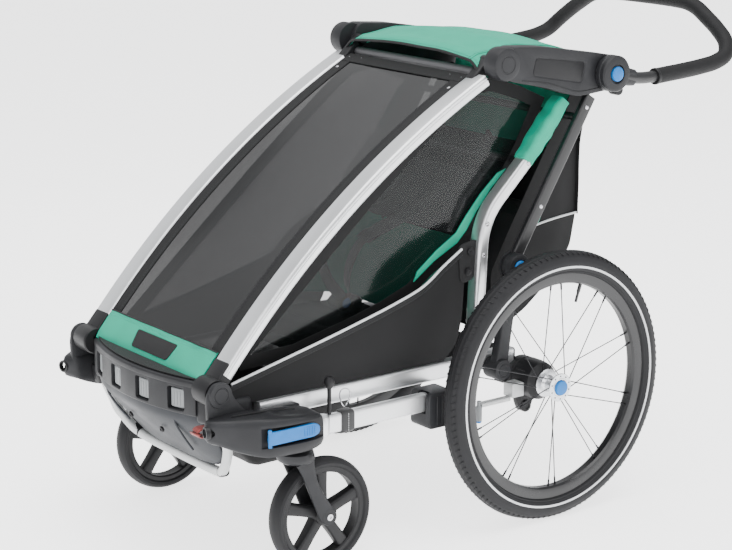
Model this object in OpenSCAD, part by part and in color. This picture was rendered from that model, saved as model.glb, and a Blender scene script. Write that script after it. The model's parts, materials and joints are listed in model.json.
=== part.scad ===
// Child bicycle trailer: folding frame, fabric body, two spoked wheels and two castors.
// +Z is up, -Y is the direction of travel, +X is the child's left. The origin is on the ground
// under the middle of the trailer; every module is drawn from the point on the ground under the axle.

/* [Wheels] */
// Outer diameter of a rear wheel
wheel_d = 500; // [480:5:520]
// Width of a rear tyre
tyre_w = 45; // [38:1:45]
// Distance between the middle planes of the two rear tyres
track_w = 612; // [610:1:620]
// Number of spokes in a rear wheel
spoke_count = 20; // [16:4:28]
// Outer diameter of a castor wheel
castor_d = 200; // [180:5:200]
// Width of a castor wheel
castor_w = 34; // [28:1:36]
// How far a castor wheel trails its swivel stem
castor_trail = 50; // [40:1:54]

/* [Chassis] */
// Distance from the axle line to the middle of the trailer
axle_y = 101; // [95:1:105]
// Distance of a side rail's outer face from the middle plane
rail_x = 215; // [213:1:216]
// Width of a side rail
rail_w = 28; // [22:1:30]
// Height of a side rail
rail_h = 30; // [24:1:32]
// Height of a side rail's lower face
rail_z = 273; // [272:1:275]
// Sideways place of the castor stems
castor_x = 255; // [250:1:260]

/* [Front frame] */
// Outer radius of the bowed front tubes
bow_r = 1736; // [1600:10:1900]
// Depth of a front tube
bow_depth = 22; // [18:1:24]
// Width of a front tube
bow_w = 44; // [38:1:46]

/* [Handlebar] */
// Sideways place of the handlebar arms
bar_x = 257; // [256:1:260]
// Outer diameter of the bare handlebar tube
bar_d = 22; // [20:1:23]
// Outer diameter of the foam grip
grip_d = 30; // [27:1:32]

/* [Hidden] */
$fn = 48;

black = [0.09, 0.09, 0.10];
grey = [0.30, 0.31, 0.33];
silver = [0.80, 0.81, 0.82];
green = [0.24, 0.77, 0.64];
blue = [0.22, 0.55, 0.80];
red = [0.72, 0.20, 0.16];

wheel_r = wheel_d / 2;
tyre_r = tyre_w / 2;
wheel_x = track_w / 2;
rim_r = wheel_r - tyre_w + 1;      // seat of the tyre on the rim
rim_inner_r = rim_r - 15;
flange_r = 26;
flange_in = wheel_x - 20;          // inner hub flange
flange_out = wheel_x + 18;         // outer hub flange
castor_r = castor_d / 2;
castor_y = -536;                   // swivel stem, from the axle line
castor_wheel_y = castor_y + castor_trail;

// Hinge points in the side view, as [distance behind the axle, height]
front_hinge = [-668, 337];
shoulder_hinge = [-70, 832];
bar_hinge = [171, 798];
fold_hinge = [-43, 466];
post_foot = [-73, 278];
seat_hinge = [-108, 288];
strut_top = [140, 760];

// Circle of the bowed front tubes through their two ends
bow_low = [-655, 368];
bow_high = [-100, 813];
bow_mid = (bow_low + bow_high) / 2;
bow_half = norm(bow_high - bow_low) / 2;
bow_dir = (bow_high - bow_low) / norm(bow_high - bow_low);
bow_centre = bow_mid + sqrt(bow_r * bow_r - bow_half * bow_half) * [bow_dir[1], -bow_dir[0]];
bow_from = atan2(bow_low[1] - bow_centre[1], bow_low[0] - bow_centre[0]);
bow_to = atan2(bow_high[1] - bow_centre[1], bow_high[0] - bow_centre[0]);
tube_out = 222;                    // outer face of the front tubes
tube_in = tube_out - bow_w;

function along(a, b, d) = a + (b - a) * d / norm(b - a);

// Places children on the model's own origin
module placed() { translate([0, axle_y, 0]) children(); }

// Draws the left part as it is, and its mirror image for the right
module on_side(s) { if (s > 0) children(); else mirror([1, 0, 0]) children(); }

module both_sides() { children(); mirror([1, 0, 0]) children(); }

// Extrudes a side-view outline, in [y, z], from x0 to x1
module side_plate(x0, x1) { translate([x0, 0, 0]) rotate([90, 0, 90]) linear_extrude(x1 - x0) children(); }

// Round bar along X through a point of the side view
module cross_bar(p, x0, x1, r) { translate([x0, p[0], p[1]]) rotate([0, 90, 0]) cylinder(h = x1 - x0, r = r); }

// Straight round bar between two points
module rod(a, b, r) {
    d = b - a;
    translate(a) rotate([0, acos(d[2] / norm(d)), atan2(d[1], d[0])]) cylinder(h = norm(d), r = r);
}

function unit(v) = v / norm(v);
function tangent(path, i) = unit(path[min(i + 1, len(path) - 1)] - path[max(i - 1, 0)]);

// One round of points about a path, square to it and level with the side view
function ring(p, t, r, sides) =
    let (u = unit(cross(t, abs(t[2]) > 0.95 ? [0, 1, 0] : [0, 0, 1])), v = cross(t, u))
    [for (k = [0 : sides - 1]) p + r * (cos(360 * k / sides) * u + sin(360 * k / sides) * v)];

// Round tube swept along a list of points
module swept_tube(path, r, sides = 16) {
    n = len(path);
    points = [for (i = [0 : n - 1]) each ring(path[i], tangent(path, i), r, sides)];
    walls = [for (i = [0 : n - 2], k = [0 : sides - 1])
        [i * sides + k, i * sides + (k + 1) % sides, (i + 1) * sides + (k + 1) % sides, (i + 1) * sides + k]];
    polyhedron(points, concat([[for (k = [sides - 1 : -1 : 0]) k]], walls,
        [[for (k = [0 : sides - 1]) (n - 1) * sides + k]]));
}

// A path and its mirror image, joined into one that runs from left to right
function across(path) = concat(path, [for (i = [len(path) - 2 : -1 : 0]) [-path[i][0], path[i][1], path[i][2]]]);

// Flat link with round ends, in the side view
module link(a, b, w) {
    translate(a) circle(d = w);
    translate(b) circle(d = w);
    flank = w - 0.1;
    translate(a) rotate(atan2(b[1] - a[1], b[0] - a[0])) translate([0, -flank / 2]) square([norm(b - a), flank]);
}

module rounded_rect(w, h, r) {
    translate([r, 0]) square([w - 2 * r, h]);
    translate([0, r]) square([w, h - 2 * r]);
    for (x = [r, w - r], y = [r, h - r]) translate([x, y]) circle(r = r);
}

// Strip between two arcs on the bow circle, from angle a0 to a1
module bow_strip(r0, r1, a0, a1) {
    far = r1 + 60;
    translate(bow_centre) intersection() {
        difference() {
            circle(r = r1, $fn = 360);
            circle(r = r0, $fn = 360);
        }
        polygon([[0, 0], far * [cos(a0), sin(a0)], far * [cos(a1), sin(a1)]]);
    }
}

// ---- chassis ----
module side_rails() {
    color(silver) both_sides() translate([rail_x - rail_w, -18, rail_z]) rotate([90, 0, 0])
        linear_extrude(560) rounded_rect(rail_w, rail_h, 5);
}

bumper_r = 474;
bumper_y = -708 + bumper_r;
module bumper_band(r0, r1, z0, z1, half) {
    translate([0, bumper_y, z0]) linear_extrude(z1 - z0) intersection() {
        difference() {
            circle(r = r1, $fn = 180);
            circle(r = r0, $fn = 180);
        }
        translate([-half, -bumper_r - 40]) square([2 * half, bumper_r]);
    }
}

module front_bumper() {
    color(black) difference() {
        union() {
            bumper_band(bumper_r - 26, bumper_r, 288, 334, 168);
            bumper_band(bumper_r - 34, bumper_r + 4, 334, 346, 172);
        }
        for (x = [-128, -44, 44, 128]) translate([x - 17, -740, 296]) cube([34, 60, 30]);
    }
}

module footwell_panel() {
    color(grey) hull() both_sides() {
        translate([160, -664, 284]) sphere(r = 3, $fn = 12);
        translate([60, -690, 284]) sphere(r = 3, $fn = 12);
        translate([172, -628, 214]) sphere(r = 3, $fn = 12);
        translate([112, -608, 172]) sphere(r = 3, $fn = 12);
        translate([80, -606, 168]) sphere(r = 3, $fn = 12);
    }
}

guard_path = [[203, -646, 276], [203, -640, 254], [191, -629, 220], [170, -620, 191], [142, -609, 168],
    [100, -600, 158], [0, -598, 156]];
module kick_guard() {
    color(silver) swept_tube(across(guard_path), 8, 12);
}

module wing(s) {
    color(black) on_side(s) difference() {
        union() {
            hull() for (p = [[232, -694, 262, 300], [262, -672, 250, 302], [292, -612, 240, 298],
                    [297, -530, 238, 292], [282, -506, 238, 290], [232, -506, 244, 300]])
                translate([p[0], p[1], p[2]]) cylinder(h = p[3] - p[2], r = 8, $fn = 32);
            side_plate(224, 232) link(front_hinge, [-640, 300], 40);
            cross_bar(front_hinge, 224, 236, 22);
            cross_bar(front_hinge, 176, 226, 6);
            translate([218, -600, 268]) cube([14, 92, 26]);
        }
        translate([castor_x, castor_y, 230]) cylinder(h = 34, r = 8.06);
        side_plate(292, 310) translate([-624, 252]) square([112, 34]);
        translate([castor_x, castor_y, 230]) cylinder(h = 9, r = 24);
    }
}

module floor_sling() {
    color(black) difference() {
        hull() both_sides() {
            translate([112, -590, 172]) sphere(r = 4, $fn = 12);
            translate([108, -360, 172]) sphere(r = 4, $fn = 12);
            translate([178, -590, 262]) sphere(r = 4, $fn = 12);
            translate([178, -360, 262]) sphere(r = 4, $fn = 12);
        }
        hull() both_sides() {
            translate([106, -582, 180]) sphere(r = 2, $fn = 12);
            translate([102, -368, 180]) sphere(r = 2, $fn = 12);
            translate([176, -582, 290]) sphere(r = 2, $fn = 12);
            translate([176, -368, 290]) sphere(r = 2, $fn = 12);
        }
    }
}

module rear_axle_tube() {
    color(silver) cross_bar([0, wheel_r], -204, 204, 15);
}

module axle_housings() {
    color(black) both_sides() {
        cross_bar([0, wheel_r], 216, flange_in - 4, 36);
        cross_bar([0, wheel_r], flange_in - 5, flange_out - 10, 6);
        translate([rail_x - rail_w + 2, -44, rail_z - 32]) cube([24, 24, 17]);
        translate([rail_x - rail_w + 2, -44, wheel_r - 12]) cube([29, 44, 20]);
    }
}

post_in = 226;
post_out = 246;
module rear_posts() {
    color(black) both_sides() {
        difference() {
            union() {
                side_plate(post_in, post_out) link(post_foot, fold_hinge, 28);
                cross_bar(fold_hinge, post_in, 258, 24.5);
                cross_bar(post_foot, rail_x + 1, 252, 20);
            }
            translate([229.2, fold_hinge[0] - 40, fold_hinge[1] - 22]) cube([7.6, 80, 60]);
            cross_bar(fold_hinge, post_out + 1, 259, 13.1);
        }
        cross_bar(fold_hinge, 228, 238, 6);
    }
}

module hitch_receiver() {
    color(silver) {
        difference() {
            translate([238, -62, 226]) cube([26, 30, 26]);
            translate([251, -49, 225]) cylinder(h = 28, r = 5);
        }
        translate([244, -128, 219]) cube([14, 68, 8]);
        translate([251, -130, 192]) cylinder(h = 40, r = 6);
    }
}

panel_top = [[-632, 344], [-538, 366], [-440, 389], [-364, 408], [-290, 428], [-226, 450], [-181, 480],
    [-140, 505]];
panel_low = [[-132, 440], [-136, 380], [-148, 330], [-178, 304], [-632, 304]];
module side_panels() {
    color(black) both_sides() side_plate(204, 212) polygon(concat(panel_top, panel_low));
}

module seat_base() {
    color(grey) hull() both_sides() for (p = [[-352, 352], [-352, 322], [-150, 318], [-150, 346]])
        translate([150, p[0], p[1]]) sphere(r = 12, $fn = 16);
}

module cargo_bag() {
    color(black) hull() both_sides() for (p = [[-20, 330], [48, 400], [110, 520], [60, 520], [-60, 400]])
        translate([170, p[0], p[1]]) sphere(r = 8, $fn = 16);
}

module rear_panel() {
    color(black) hull() both_sides() for (p = [[124, 700], [130, 560], [116, 540]])
        translate([186, p[0], p[1]]) sphere(r = 4, $fn = 16);
}

module hitch_holder() {
    color(black) {
        difference() {
            translate([218, -262, 206]) cube([54, 60, 66]);
            translate([229, -263, 222]) cube([44, 30, 51]);
        }
        translate([218, -252, 262]) cube([22, 40, 14]);
    }
}

module pull_strap() {
    color(red) translate([0, 0, 262]) linear_extrude(20) difference() {
        polygon([[172, -676], [176, -700], [186, -704], [214, -692], [220, -686], [220, -672]]);
        polygon([[175, -672], [179, -696], [187, -700], [213, -688], [217, -684], [217, -670]]);
    }
}

window_outline = [[-600, 372], [-430, 520], [-250, 680], [-100, 780], [84, 740], [-60, 500], [-130, 512],
    [-181, 488], [-226, 458], [-364, 416]];
module side_windows() {
    color(grey) both_sides() difference() {
        side_plate(168, 172) polygon(window_outline);
        cross_bar([4, 646], 160, 180, 9);
    }
}

// ---- front frame ----
module front_tube(s) {
    color(silver) on_side(s) difference() {
        side_plate(tube_in, tube_out) bow_strip(bow_r - bow_depth, bow_r, bow_from, bow_to);
        side_plate(tube_out - 1.5, tube_out + 1) bow_strip(bow_r - 4, bow_r - 2, bow_from - 1, bow_to + 1);
    }
}

module front_knuckles() {
    low_end = along(bow_low, bow_centre, bow_depth / 2);
    high_end = along(bow_high, bow_centre, bow_depth / 2);
    color(black) both_sides() {
        difference() {
            union() {
                side_plate(tube_in, 220) link(front_hinge, low_end - 14 * bow_dir, 24);
                cross_bar(front_hinge, tube_in, 222, 24);
            }
            cross_bar(front_hinge, tube_in - 1, 223, 6.06);
        }
        difference() {
            side_plate(tube_in, 202) link(high_end + 12 * bow_dir, shoulder_hinge, 22);
            cross_bar(shoulder_hinge, tube_in - 1, 203, 6.06);
        }
    }
}

module top_cross_tube() {
    color(black) cross_bar([-82, 812], -tube_in + 1, tube_in - 1, 9);
}

module windscreen() {
    color(grey) side_plate(-170, 170) bow_strip(bow_r - 5, bow_r - 2, bow_from - 1.6, bow_to + 0.9);
}

module lower_band() {
    color(green) side_plate(-162, 162) bow_strip(bow_r - 6, bow_r - 2, bow_from + 0.5, bow_from - 1.5);
}

// ---- shoulders ----
shoulder_outline = [[-84, 812], [-59, 800], [24, 782], [97, 760], [133, 762], [178, 766], [214, 764],
    [238, 786], [228, 802], [191, 828], [131, 838], [22, 856], [-60, 862]];
module shoulder(s) {
    color(black) on_side(s) {
        difference() {
            union() {
                side_plate(204, 244) polygon(shoulder_outline);
                cross_bar(shoulder_hinge, 204, 247, 30);
            }
            side_plate(223, 241) translate([56, 700]) square([134, 86]);
        }
        cross_bar(shoulder_hinge, 176, 206, 6);
        cross_bar(bar_hinge, 242, 246, 20);
        cross_bar(bar_hinge, 246, 262, 8);
    }
}

module rear_cross_tube() {
    color(black) cross_bar([196, 802], -204, 204, 10);
}

module roof() {
    color(green) translate([0, 0, 0]) intersection() {
        side_plate(-172, 172) polygon([[-92, 838], [-88, 850], [0, 866], [100, 850], [186, 824], [186, 818],
            [100, 843], [0, 858], [-84, 836]]);
        translate([-172, -100, 780]) cube([344, 300, 100]);
    }
}

// ---- rear struts ----
module rear_strut(s) {
    color(black) on_side(s) difference() {
        union() {
            side_plate(post_in, 239) link(along(fold_hinge, strut_top, 40), strut_top, 24);
            side_plate(229.6, 236.4) link(fold_hinge, along(fold_hinge, strut_top, 60), 24);
            cross_bar(fold_hinge, 229.6, 236.4, 19);
        }
        cross_bar(fold_hinge, 220, 250, 6.06);
    }
}

module strut_cross_tube() {
    color(black) cross_bar(along(fold_hinge, strut_top, 298), -post_in, post_in, 7);
}

// ---- seat frame ----
seat_bend = [-94, 552];
seat_end = [14, 655];
module seat_tubes() {
    color(silver) both_sides() difference() {
        union() {
            side_plate(190, 221) {
                link([-105, 348], seat_bend, 24);
                link(seat_bend, seat_end, 24);
            }
            side_plate(215.4, 220.9) link(seat_hinge, [-105, 344], 22);
        }
        cross_bar(seat_hinge, 180, 230, 6.06);
        cross_bar(seat_end, 189, 230, 3);
    }
}

module seat_top_bar() {
    color(black) cross_bar([4, 646], -190, 190, 8);
}

module seat_back() {
    color(grey) hull() both_sides() for (p = [[-128, 366], [-20, 628]])
        translate([148, p[0], p[1]]) sphere(r = 11, $fn = 20);
}

// ---- handlebar ----
bar_path = [[bar_x, 171, 798], [bar_x, 215, 785], [bar_x, 267, 782], [bar_x, 350, 787], [bar_x, 425, 794],
    [bar_x - 2, 458, 801], [bar_x - 9, 479, 814], [bar_x - 28, 489, 834], [bar_x - 54, 491, 852],
    [bar_x - 84, 492, 872], [bar_x - 104, 493, 884], [bar_x - 128, 494, 892], [bar_x - 157, 495, 895], [0, 495, 897]];
grip_start = bar_path[2] + [0, 13, 0.8];
module handlebar_tube() {
    color(black) both_sides() swept_tube(concat([bar_path[1], bar_path[2]], [grip_start]), bar_d / 2);
}

module handlebar_grip() {
    color(black) swept_tube(across(concat([grip_start], [for (i = [3 : len(bar_path) - 1]) bar_path[i]])), grip_d / 2);
}

module handlebar_hubs() {
    color(black) both_sides() difference() {
        union() {
            cross_bar(bar_hinge, 246.5, 271, 33);
            side_plate(246.5, 269) link(bar_hinge, [212, 786], 30);
        }
        cross_bar(bar_hinge, 240, 264, 20.3);
        cross_bar(bar_hinge, 240, 272, 14.1);
    }
}

// Push button with its outer face at x1
module push_button(p, x0, x1, r) {
    cross_bar(p, x0, x1, r);
}

module handlebar_button(s) { color(blue) on_side(s) push_button(bar_hinge, 265, 274, 14); }
module fold_button(s) { color(blue) on_side(s) push_button(fold_hinge, 252, 261, 13); }
module hub_button(s) { color(blue) on_side(s) push_button([0, wheel_r], flange_out - 4, flange_out + 6, 14); }

// ---- rear wheels ----
// Turns a [radius, offset] outline about the axle, centred on the wheel's middle plane
module wheel_turn(s) {
    on_side(s) translate([wheel_x, 0, wheel_r]) rotate([0, 90, 0]) rotate_extrude($fn = 120) children();
}

module rear_tyre(s) {
    color(black) wheel_turn(s) difference() {
        translate([wheel_r - tyre_r, 0]) circle(r = tyre_r);
        translate([0, -tyre_r]) square([rim_r + 0.2, tyre_w]);
    }
}

module rear_rim(s) {
    color(black) wheel_turn(s) polygon([[rim_inner_r, -8], [rim_r - 4, -13], [rim_r, -13], [rim_r, 13],
        [rim_r - 4, 13], [rim_inner_r, 8]]);
}

module spokes(s) {
    pair = 360 / (spoke_count / 2);
    color(black) on_side(s) translate([wheel_x, 0, wheel_r]) for (i = [0 : spoke_count / 2 - 1], k = [-1, 1]) {
        hub_a = i * pair + k * 32;
        rim_a = i * pair + k * 3;
        flange = k > 0 ? flange_out - wheel_x - 1.5 : flange_in - wheel_x + 1.5;
        rod([flange, 21 * cos(hub_a), 21 * sin(hub_a)],
            [k * 2, (rim_inner_r + 2) * cos(rim_a), (rim_inner_r + 2) * sin(rim_a)], 1.1);
    }
}

module hub(s) {
    color(silver) on_side(s) difference() {
        union() {
            cross_bar([0, wheel_r], flange_in, flange_in + 3, flange_r);
            cross_bar([0, wheel_r], flange_in, flange_out, 12);
            cross_bar([0, wheel_r], flange_out - 3, flange_out, flange_r);
            cross_bar([0, wheel_r], flange_out - 10, flange_out, 18);
        }
        cross_bar([0, wheel_r], flange_in - 2, flange_out - 8, 6.06);
        cross_bar([0, wheel_r], flange_out - 8, flange_out + 1, 14.1);
    }
}

// ---- castors ----
crown_z = 204;
module castor_fork(s) {
    color(black) on_side(s) translate([castor_x, 0, 0]) union() {
        translate([0, castor_y, crown_z]) cylinder(h = 20, r = 31);
        translate([0, castor_y, crown_z + 19]) cylinder(h = 15, r = 20);
        translate([0, castor_y, crown_z + 30]) cylinder(h = 28, r = 8);
        for (m = [-1, 1]) side_plate(m * 25 - 4.5, m * 25 + 4.5)
            link([castor_y + 4, crown_z + 4], [castor_wheel_y, castor_r], 26);
        cross_bar([castor_wheel_y, castor_r], -28, 28, 4);
        cross_bar([castor_wheel_y, castor_r], 28, 32, 6.5);
    }
}

module castor_turn(s) {
    on_side(s) translate([castor_x, castor_wheel_y, castor_r]) rotate([0, 90, 0]) rotate_extrude($fn = 96)
        children();
}

module castor_tyre(s) {
    color(black) castor_turn(s) difference() {
        translate([castor_r - 17, 0]) intersection() {
            circle(r = 17);
            translate([-20, -castor_w / 2]) square([40, castor_w]);
        }
        translate([0, -30]) square([castor_r - 16, 60]);
    }
}

module castor_rim(s) {
    color(black) {
        castor_turn(s) difference() {
            translate([castor_r - 27, -12]) square([10.8, 24]);
            translate([castor_r - 30, -7]) square([9, 14]);
        }
        on_side(s) translate([castor_x, castor_wheel_y, castor_r]) difference() {
            union() {
                cross_bar([0, 0], -18, 18, 17);
                for (i = [0 : 4]) rotate([72 * i + 18, 0, 0]) translate([-6, -7, 0]) cube([12, 14, castor_r - 20]);
            }
            cross_bar([0, 0], -20, 20, 4.06);
        }
    }
}

// ---- hitch arm and levers ----
arm_pivot = [250, -478];
module hitch_arm() {
    color(silver) difference() {
        union() {
            translate([250 - 9, -476, 236]) cube([18, 222, 34]);
            translate([250, arm_pivot[1], 236]) cylinder(h = 34, r = 15);
            translate([250, -254, 236]) cylinder(h = 34, r = 9);
        }
        translate([250, arm_pivot[1], 230]) cylinder(h = 50, r = 6.06);
    }
}

module release_lever(s) {
    color(blue) on_side(s) {
        side_plate(296, 303) translate([-620, 256]) rounded_rect(104, 26, 4);
        translate([299.5, -616, 254]) cylinder(h = 30, r = 3.4);
    }
}

placed() side_rails();
placed() front_bumper();
placed() footwell_panel();
placed() kick_guard();
placed() wing(1);  // wing_left
placed() wing(-1);  // wing_right
placed() floor_sling();
placed() rear_axle_tube();
placed() axle_housings();
placed() rear_posts();
placed() hitch_receiver();
placed() side_panels();
placed() seat_base();
placed() cargo_bag();
placed() hitch_holder();
placed() pull_strap();
placed() side_windows();
placed() rear_panel();
placed() front_tube(1);  // front_tube_left
placed() front_tube(-1);  // front_tube_right
placed() front_knuckles();
placed() top_cross_tube();
placed() windscreen();
placed() lower_band();
placed() shoulder(1);  // shoulder_left
placed() shoulder(-1);  // shoulder_right
placed() rear_cross_tube();
placed() roof();
placed() rear_strut(1);  // rear_strut_left
placed() rear_strut(-1);  // rear_strut_right
placed() strut_cross_tube();
placed() seat_tubes();
placed() seat_top_bar();
placed() seat_back();
placed() handlebar_tube();
placed() handlebar_grip();
placed() handlebar_hubs();
placed() handlebar_button(1);  // handlebar_button_left
placed() handlebar_button(-1);  // handlebar_button_right
placed() fold_button(1);  // fold_button_left
placed() fold_button(-1);  // fold_button_right
placed() rear_tyre(1);  // rear_tyre_left
placed() rear_rim(1);  // rear_rim_left
placed() spokes(1);  // spokes_left
placed() hub(1);  // hub_left
placed() rear_tyre(-1);  // rear_tyre_right
placed() rear_rim(-1);  // rear_rim_right
placed() spokes(-1);  // spokes_right
placed() hub(-1);  // hub_right
placed() hub_button(1);  // hub_button_left
placed() hub_button(-1);  // hub_button_right
placed() castor_fork(1);  // castor_fork_left
placed() castor_tyre(1);  // castor_tyre_left
placed() castor_rim(1);  // castor_rim_left
placed() castor_fork(-1);  // castor_fork_right
placed() castor_tyre(-1);  // castor_tyre_right
placed() castor_rim(-1);  // castor_rim_right
placed() hitch_arm();
placed() release_lever(1);  // release_lever_left
placed() release_lever(-1);  // release_lever_right
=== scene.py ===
"""Looks of a folding child bicycle trailer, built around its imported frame.

Every length is in metres, +Z is up, -Y is the direction of travel and +X is the child's left.
The frame gives the hinges and the boxes of the parts; each class below dresses one sub-assembly.
"""

from __future__ import annotations

import json
import logging
import math
from dataclasses import dataclass, field
from enum import Enum
from typing import Any, Callable, Iterable, Sequence

import bmesh
import bpy
import numpy as np
from mathutils import Matrix, Vector, geometry, noise

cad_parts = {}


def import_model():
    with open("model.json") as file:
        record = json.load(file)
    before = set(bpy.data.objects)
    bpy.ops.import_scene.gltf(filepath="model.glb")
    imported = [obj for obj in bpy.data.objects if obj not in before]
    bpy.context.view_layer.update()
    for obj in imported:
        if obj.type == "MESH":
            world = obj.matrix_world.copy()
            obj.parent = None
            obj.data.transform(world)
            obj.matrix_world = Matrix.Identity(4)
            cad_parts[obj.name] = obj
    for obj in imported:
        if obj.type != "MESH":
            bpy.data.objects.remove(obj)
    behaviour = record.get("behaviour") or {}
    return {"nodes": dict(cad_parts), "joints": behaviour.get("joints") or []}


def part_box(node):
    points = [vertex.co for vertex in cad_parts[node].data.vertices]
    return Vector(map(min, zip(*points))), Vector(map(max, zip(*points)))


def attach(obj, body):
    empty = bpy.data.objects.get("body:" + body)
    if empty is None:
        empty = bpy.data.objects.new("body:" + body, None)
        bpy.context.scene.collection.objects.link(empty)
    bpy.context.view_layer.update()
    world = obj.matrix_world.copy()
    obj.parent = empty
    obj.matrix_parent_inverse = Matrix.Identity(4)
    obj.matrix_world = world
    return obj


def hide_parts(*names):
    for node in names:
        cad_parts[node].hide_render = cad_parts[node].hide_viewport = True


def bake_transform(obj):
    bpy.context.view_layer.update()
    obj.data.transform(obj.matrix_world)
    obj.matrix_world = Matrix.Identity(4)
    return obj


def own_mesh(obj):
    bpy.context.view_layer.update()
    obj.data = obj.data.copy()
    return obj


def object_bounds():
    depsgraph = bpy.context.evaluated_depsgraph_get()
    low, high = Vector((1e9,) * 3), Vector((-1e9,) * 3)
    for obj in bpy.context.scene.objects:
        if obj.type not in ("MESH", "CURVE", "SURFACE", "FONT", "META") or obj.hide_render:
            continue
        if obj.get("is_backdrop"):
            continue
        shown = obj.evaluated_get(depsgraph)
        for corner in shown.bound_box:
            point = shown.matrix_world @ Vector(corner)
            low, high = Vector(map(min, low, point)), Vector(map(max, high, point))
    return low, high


log = logging.getLogger("trailer")

Points = Sequence[Sequence[float]]


class Side(Enum):
    """Which side of the trailer a piece is on."""

    LEFT = 1
    RIGHT = -1

    @property
    def tag(self) -> str:
        """The side's name, as the frame's nodes and bodies spell it."""
        return self.name.lower()


class Body(str, Enum):
    """The frame's main rigid bodies."""

    CHASSIS = "chassis"
    FRONT = "front_frame"
    SHOULDERS = "shoulders"
    STRUTS = "rear_struts"
    SEAT = "seat_frame"
    HANDLEBAR = "handlebar"
    HITCH = "hitch"


# ---------------------------------------------------------------- shader maths


class Signal:
    """A shader socket on which Python operators add Math nodes."""

    def __init__(self, graph: "ShaderGraph", socket: bpy.types.NodeSocket) -> None:
        """Wraps a socket of a graph."""
        self.graph = graph
        self.socket = socket

    def math(self, operation: str, *others: "Signal | float", swap: bool = False, clamp: bool = False) -> "Signal":
        """Adds one Math node.

        Args:
            operation: the Math node's operation.
            others: the remaining operands.
            swap: puts this signal last instead of first.
            clamp: keeps the result from 0 to 1.

        Returns:
            The node's result.
        """
        operands = [*others, self] if swap else [self, *others]
        made = self.graph.node("ShaderNodeMath", {"operation": operation, "use_clamp": clamp},
            {i: value for i, value in enumerate(operands)})
        return Signal(self.graph, made.outputs[0])

    def __add__(self, other: "Signal | float") -> "Signal":
        """Sum."""
        return self.math("ADD", other)

    def __radd__(self, other: float) -> "Signal":
        """Sum with a number on the left."""
        return self.math("ADD", other)

    def __sub__(self, other: "Signal | float") -> "Signal":
        """Difference."""
        return self.math("SUBTRACT", other)

    def __rsub__(self, other: float) -> "Signal":
        """Difference with a number on the left."""
        return self.math("SUBTRACT", other, swap=True)

    def __mul__(self, other: "Signal | float") -> "Signal":
        """Product."""
        return self.math("MULTIPLY", other)

    def __rmul__(self, other: float) -> "Signal":
        """Product with a number on the left."""
        return self.math("MULTIPLY", other)

    def __abs__(self) -> "Signal":
        """Absolute value."""
        return self.math("ABSOLUTE")

    def sine(self) -> "Signal":
        """Sine of an angle in radians."""
        return self.math("SINE")

    def ramp(self, low: float, high: float, to_low: float = 0.0, to_high: float = 1.0) -> "Signal":
        """Maps the span from low to high smoothly onto another span."""
        made = self.graph.node("ShaderNodeMapRange", {"interpolation_type": "SMOOTHSTEP"}, {"Value": self,
            "From Min": low, "From Max": high, "To Min": to_low, "To Max": to_high})
        return Signal(self.graph, made.outputs[0])


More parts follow.
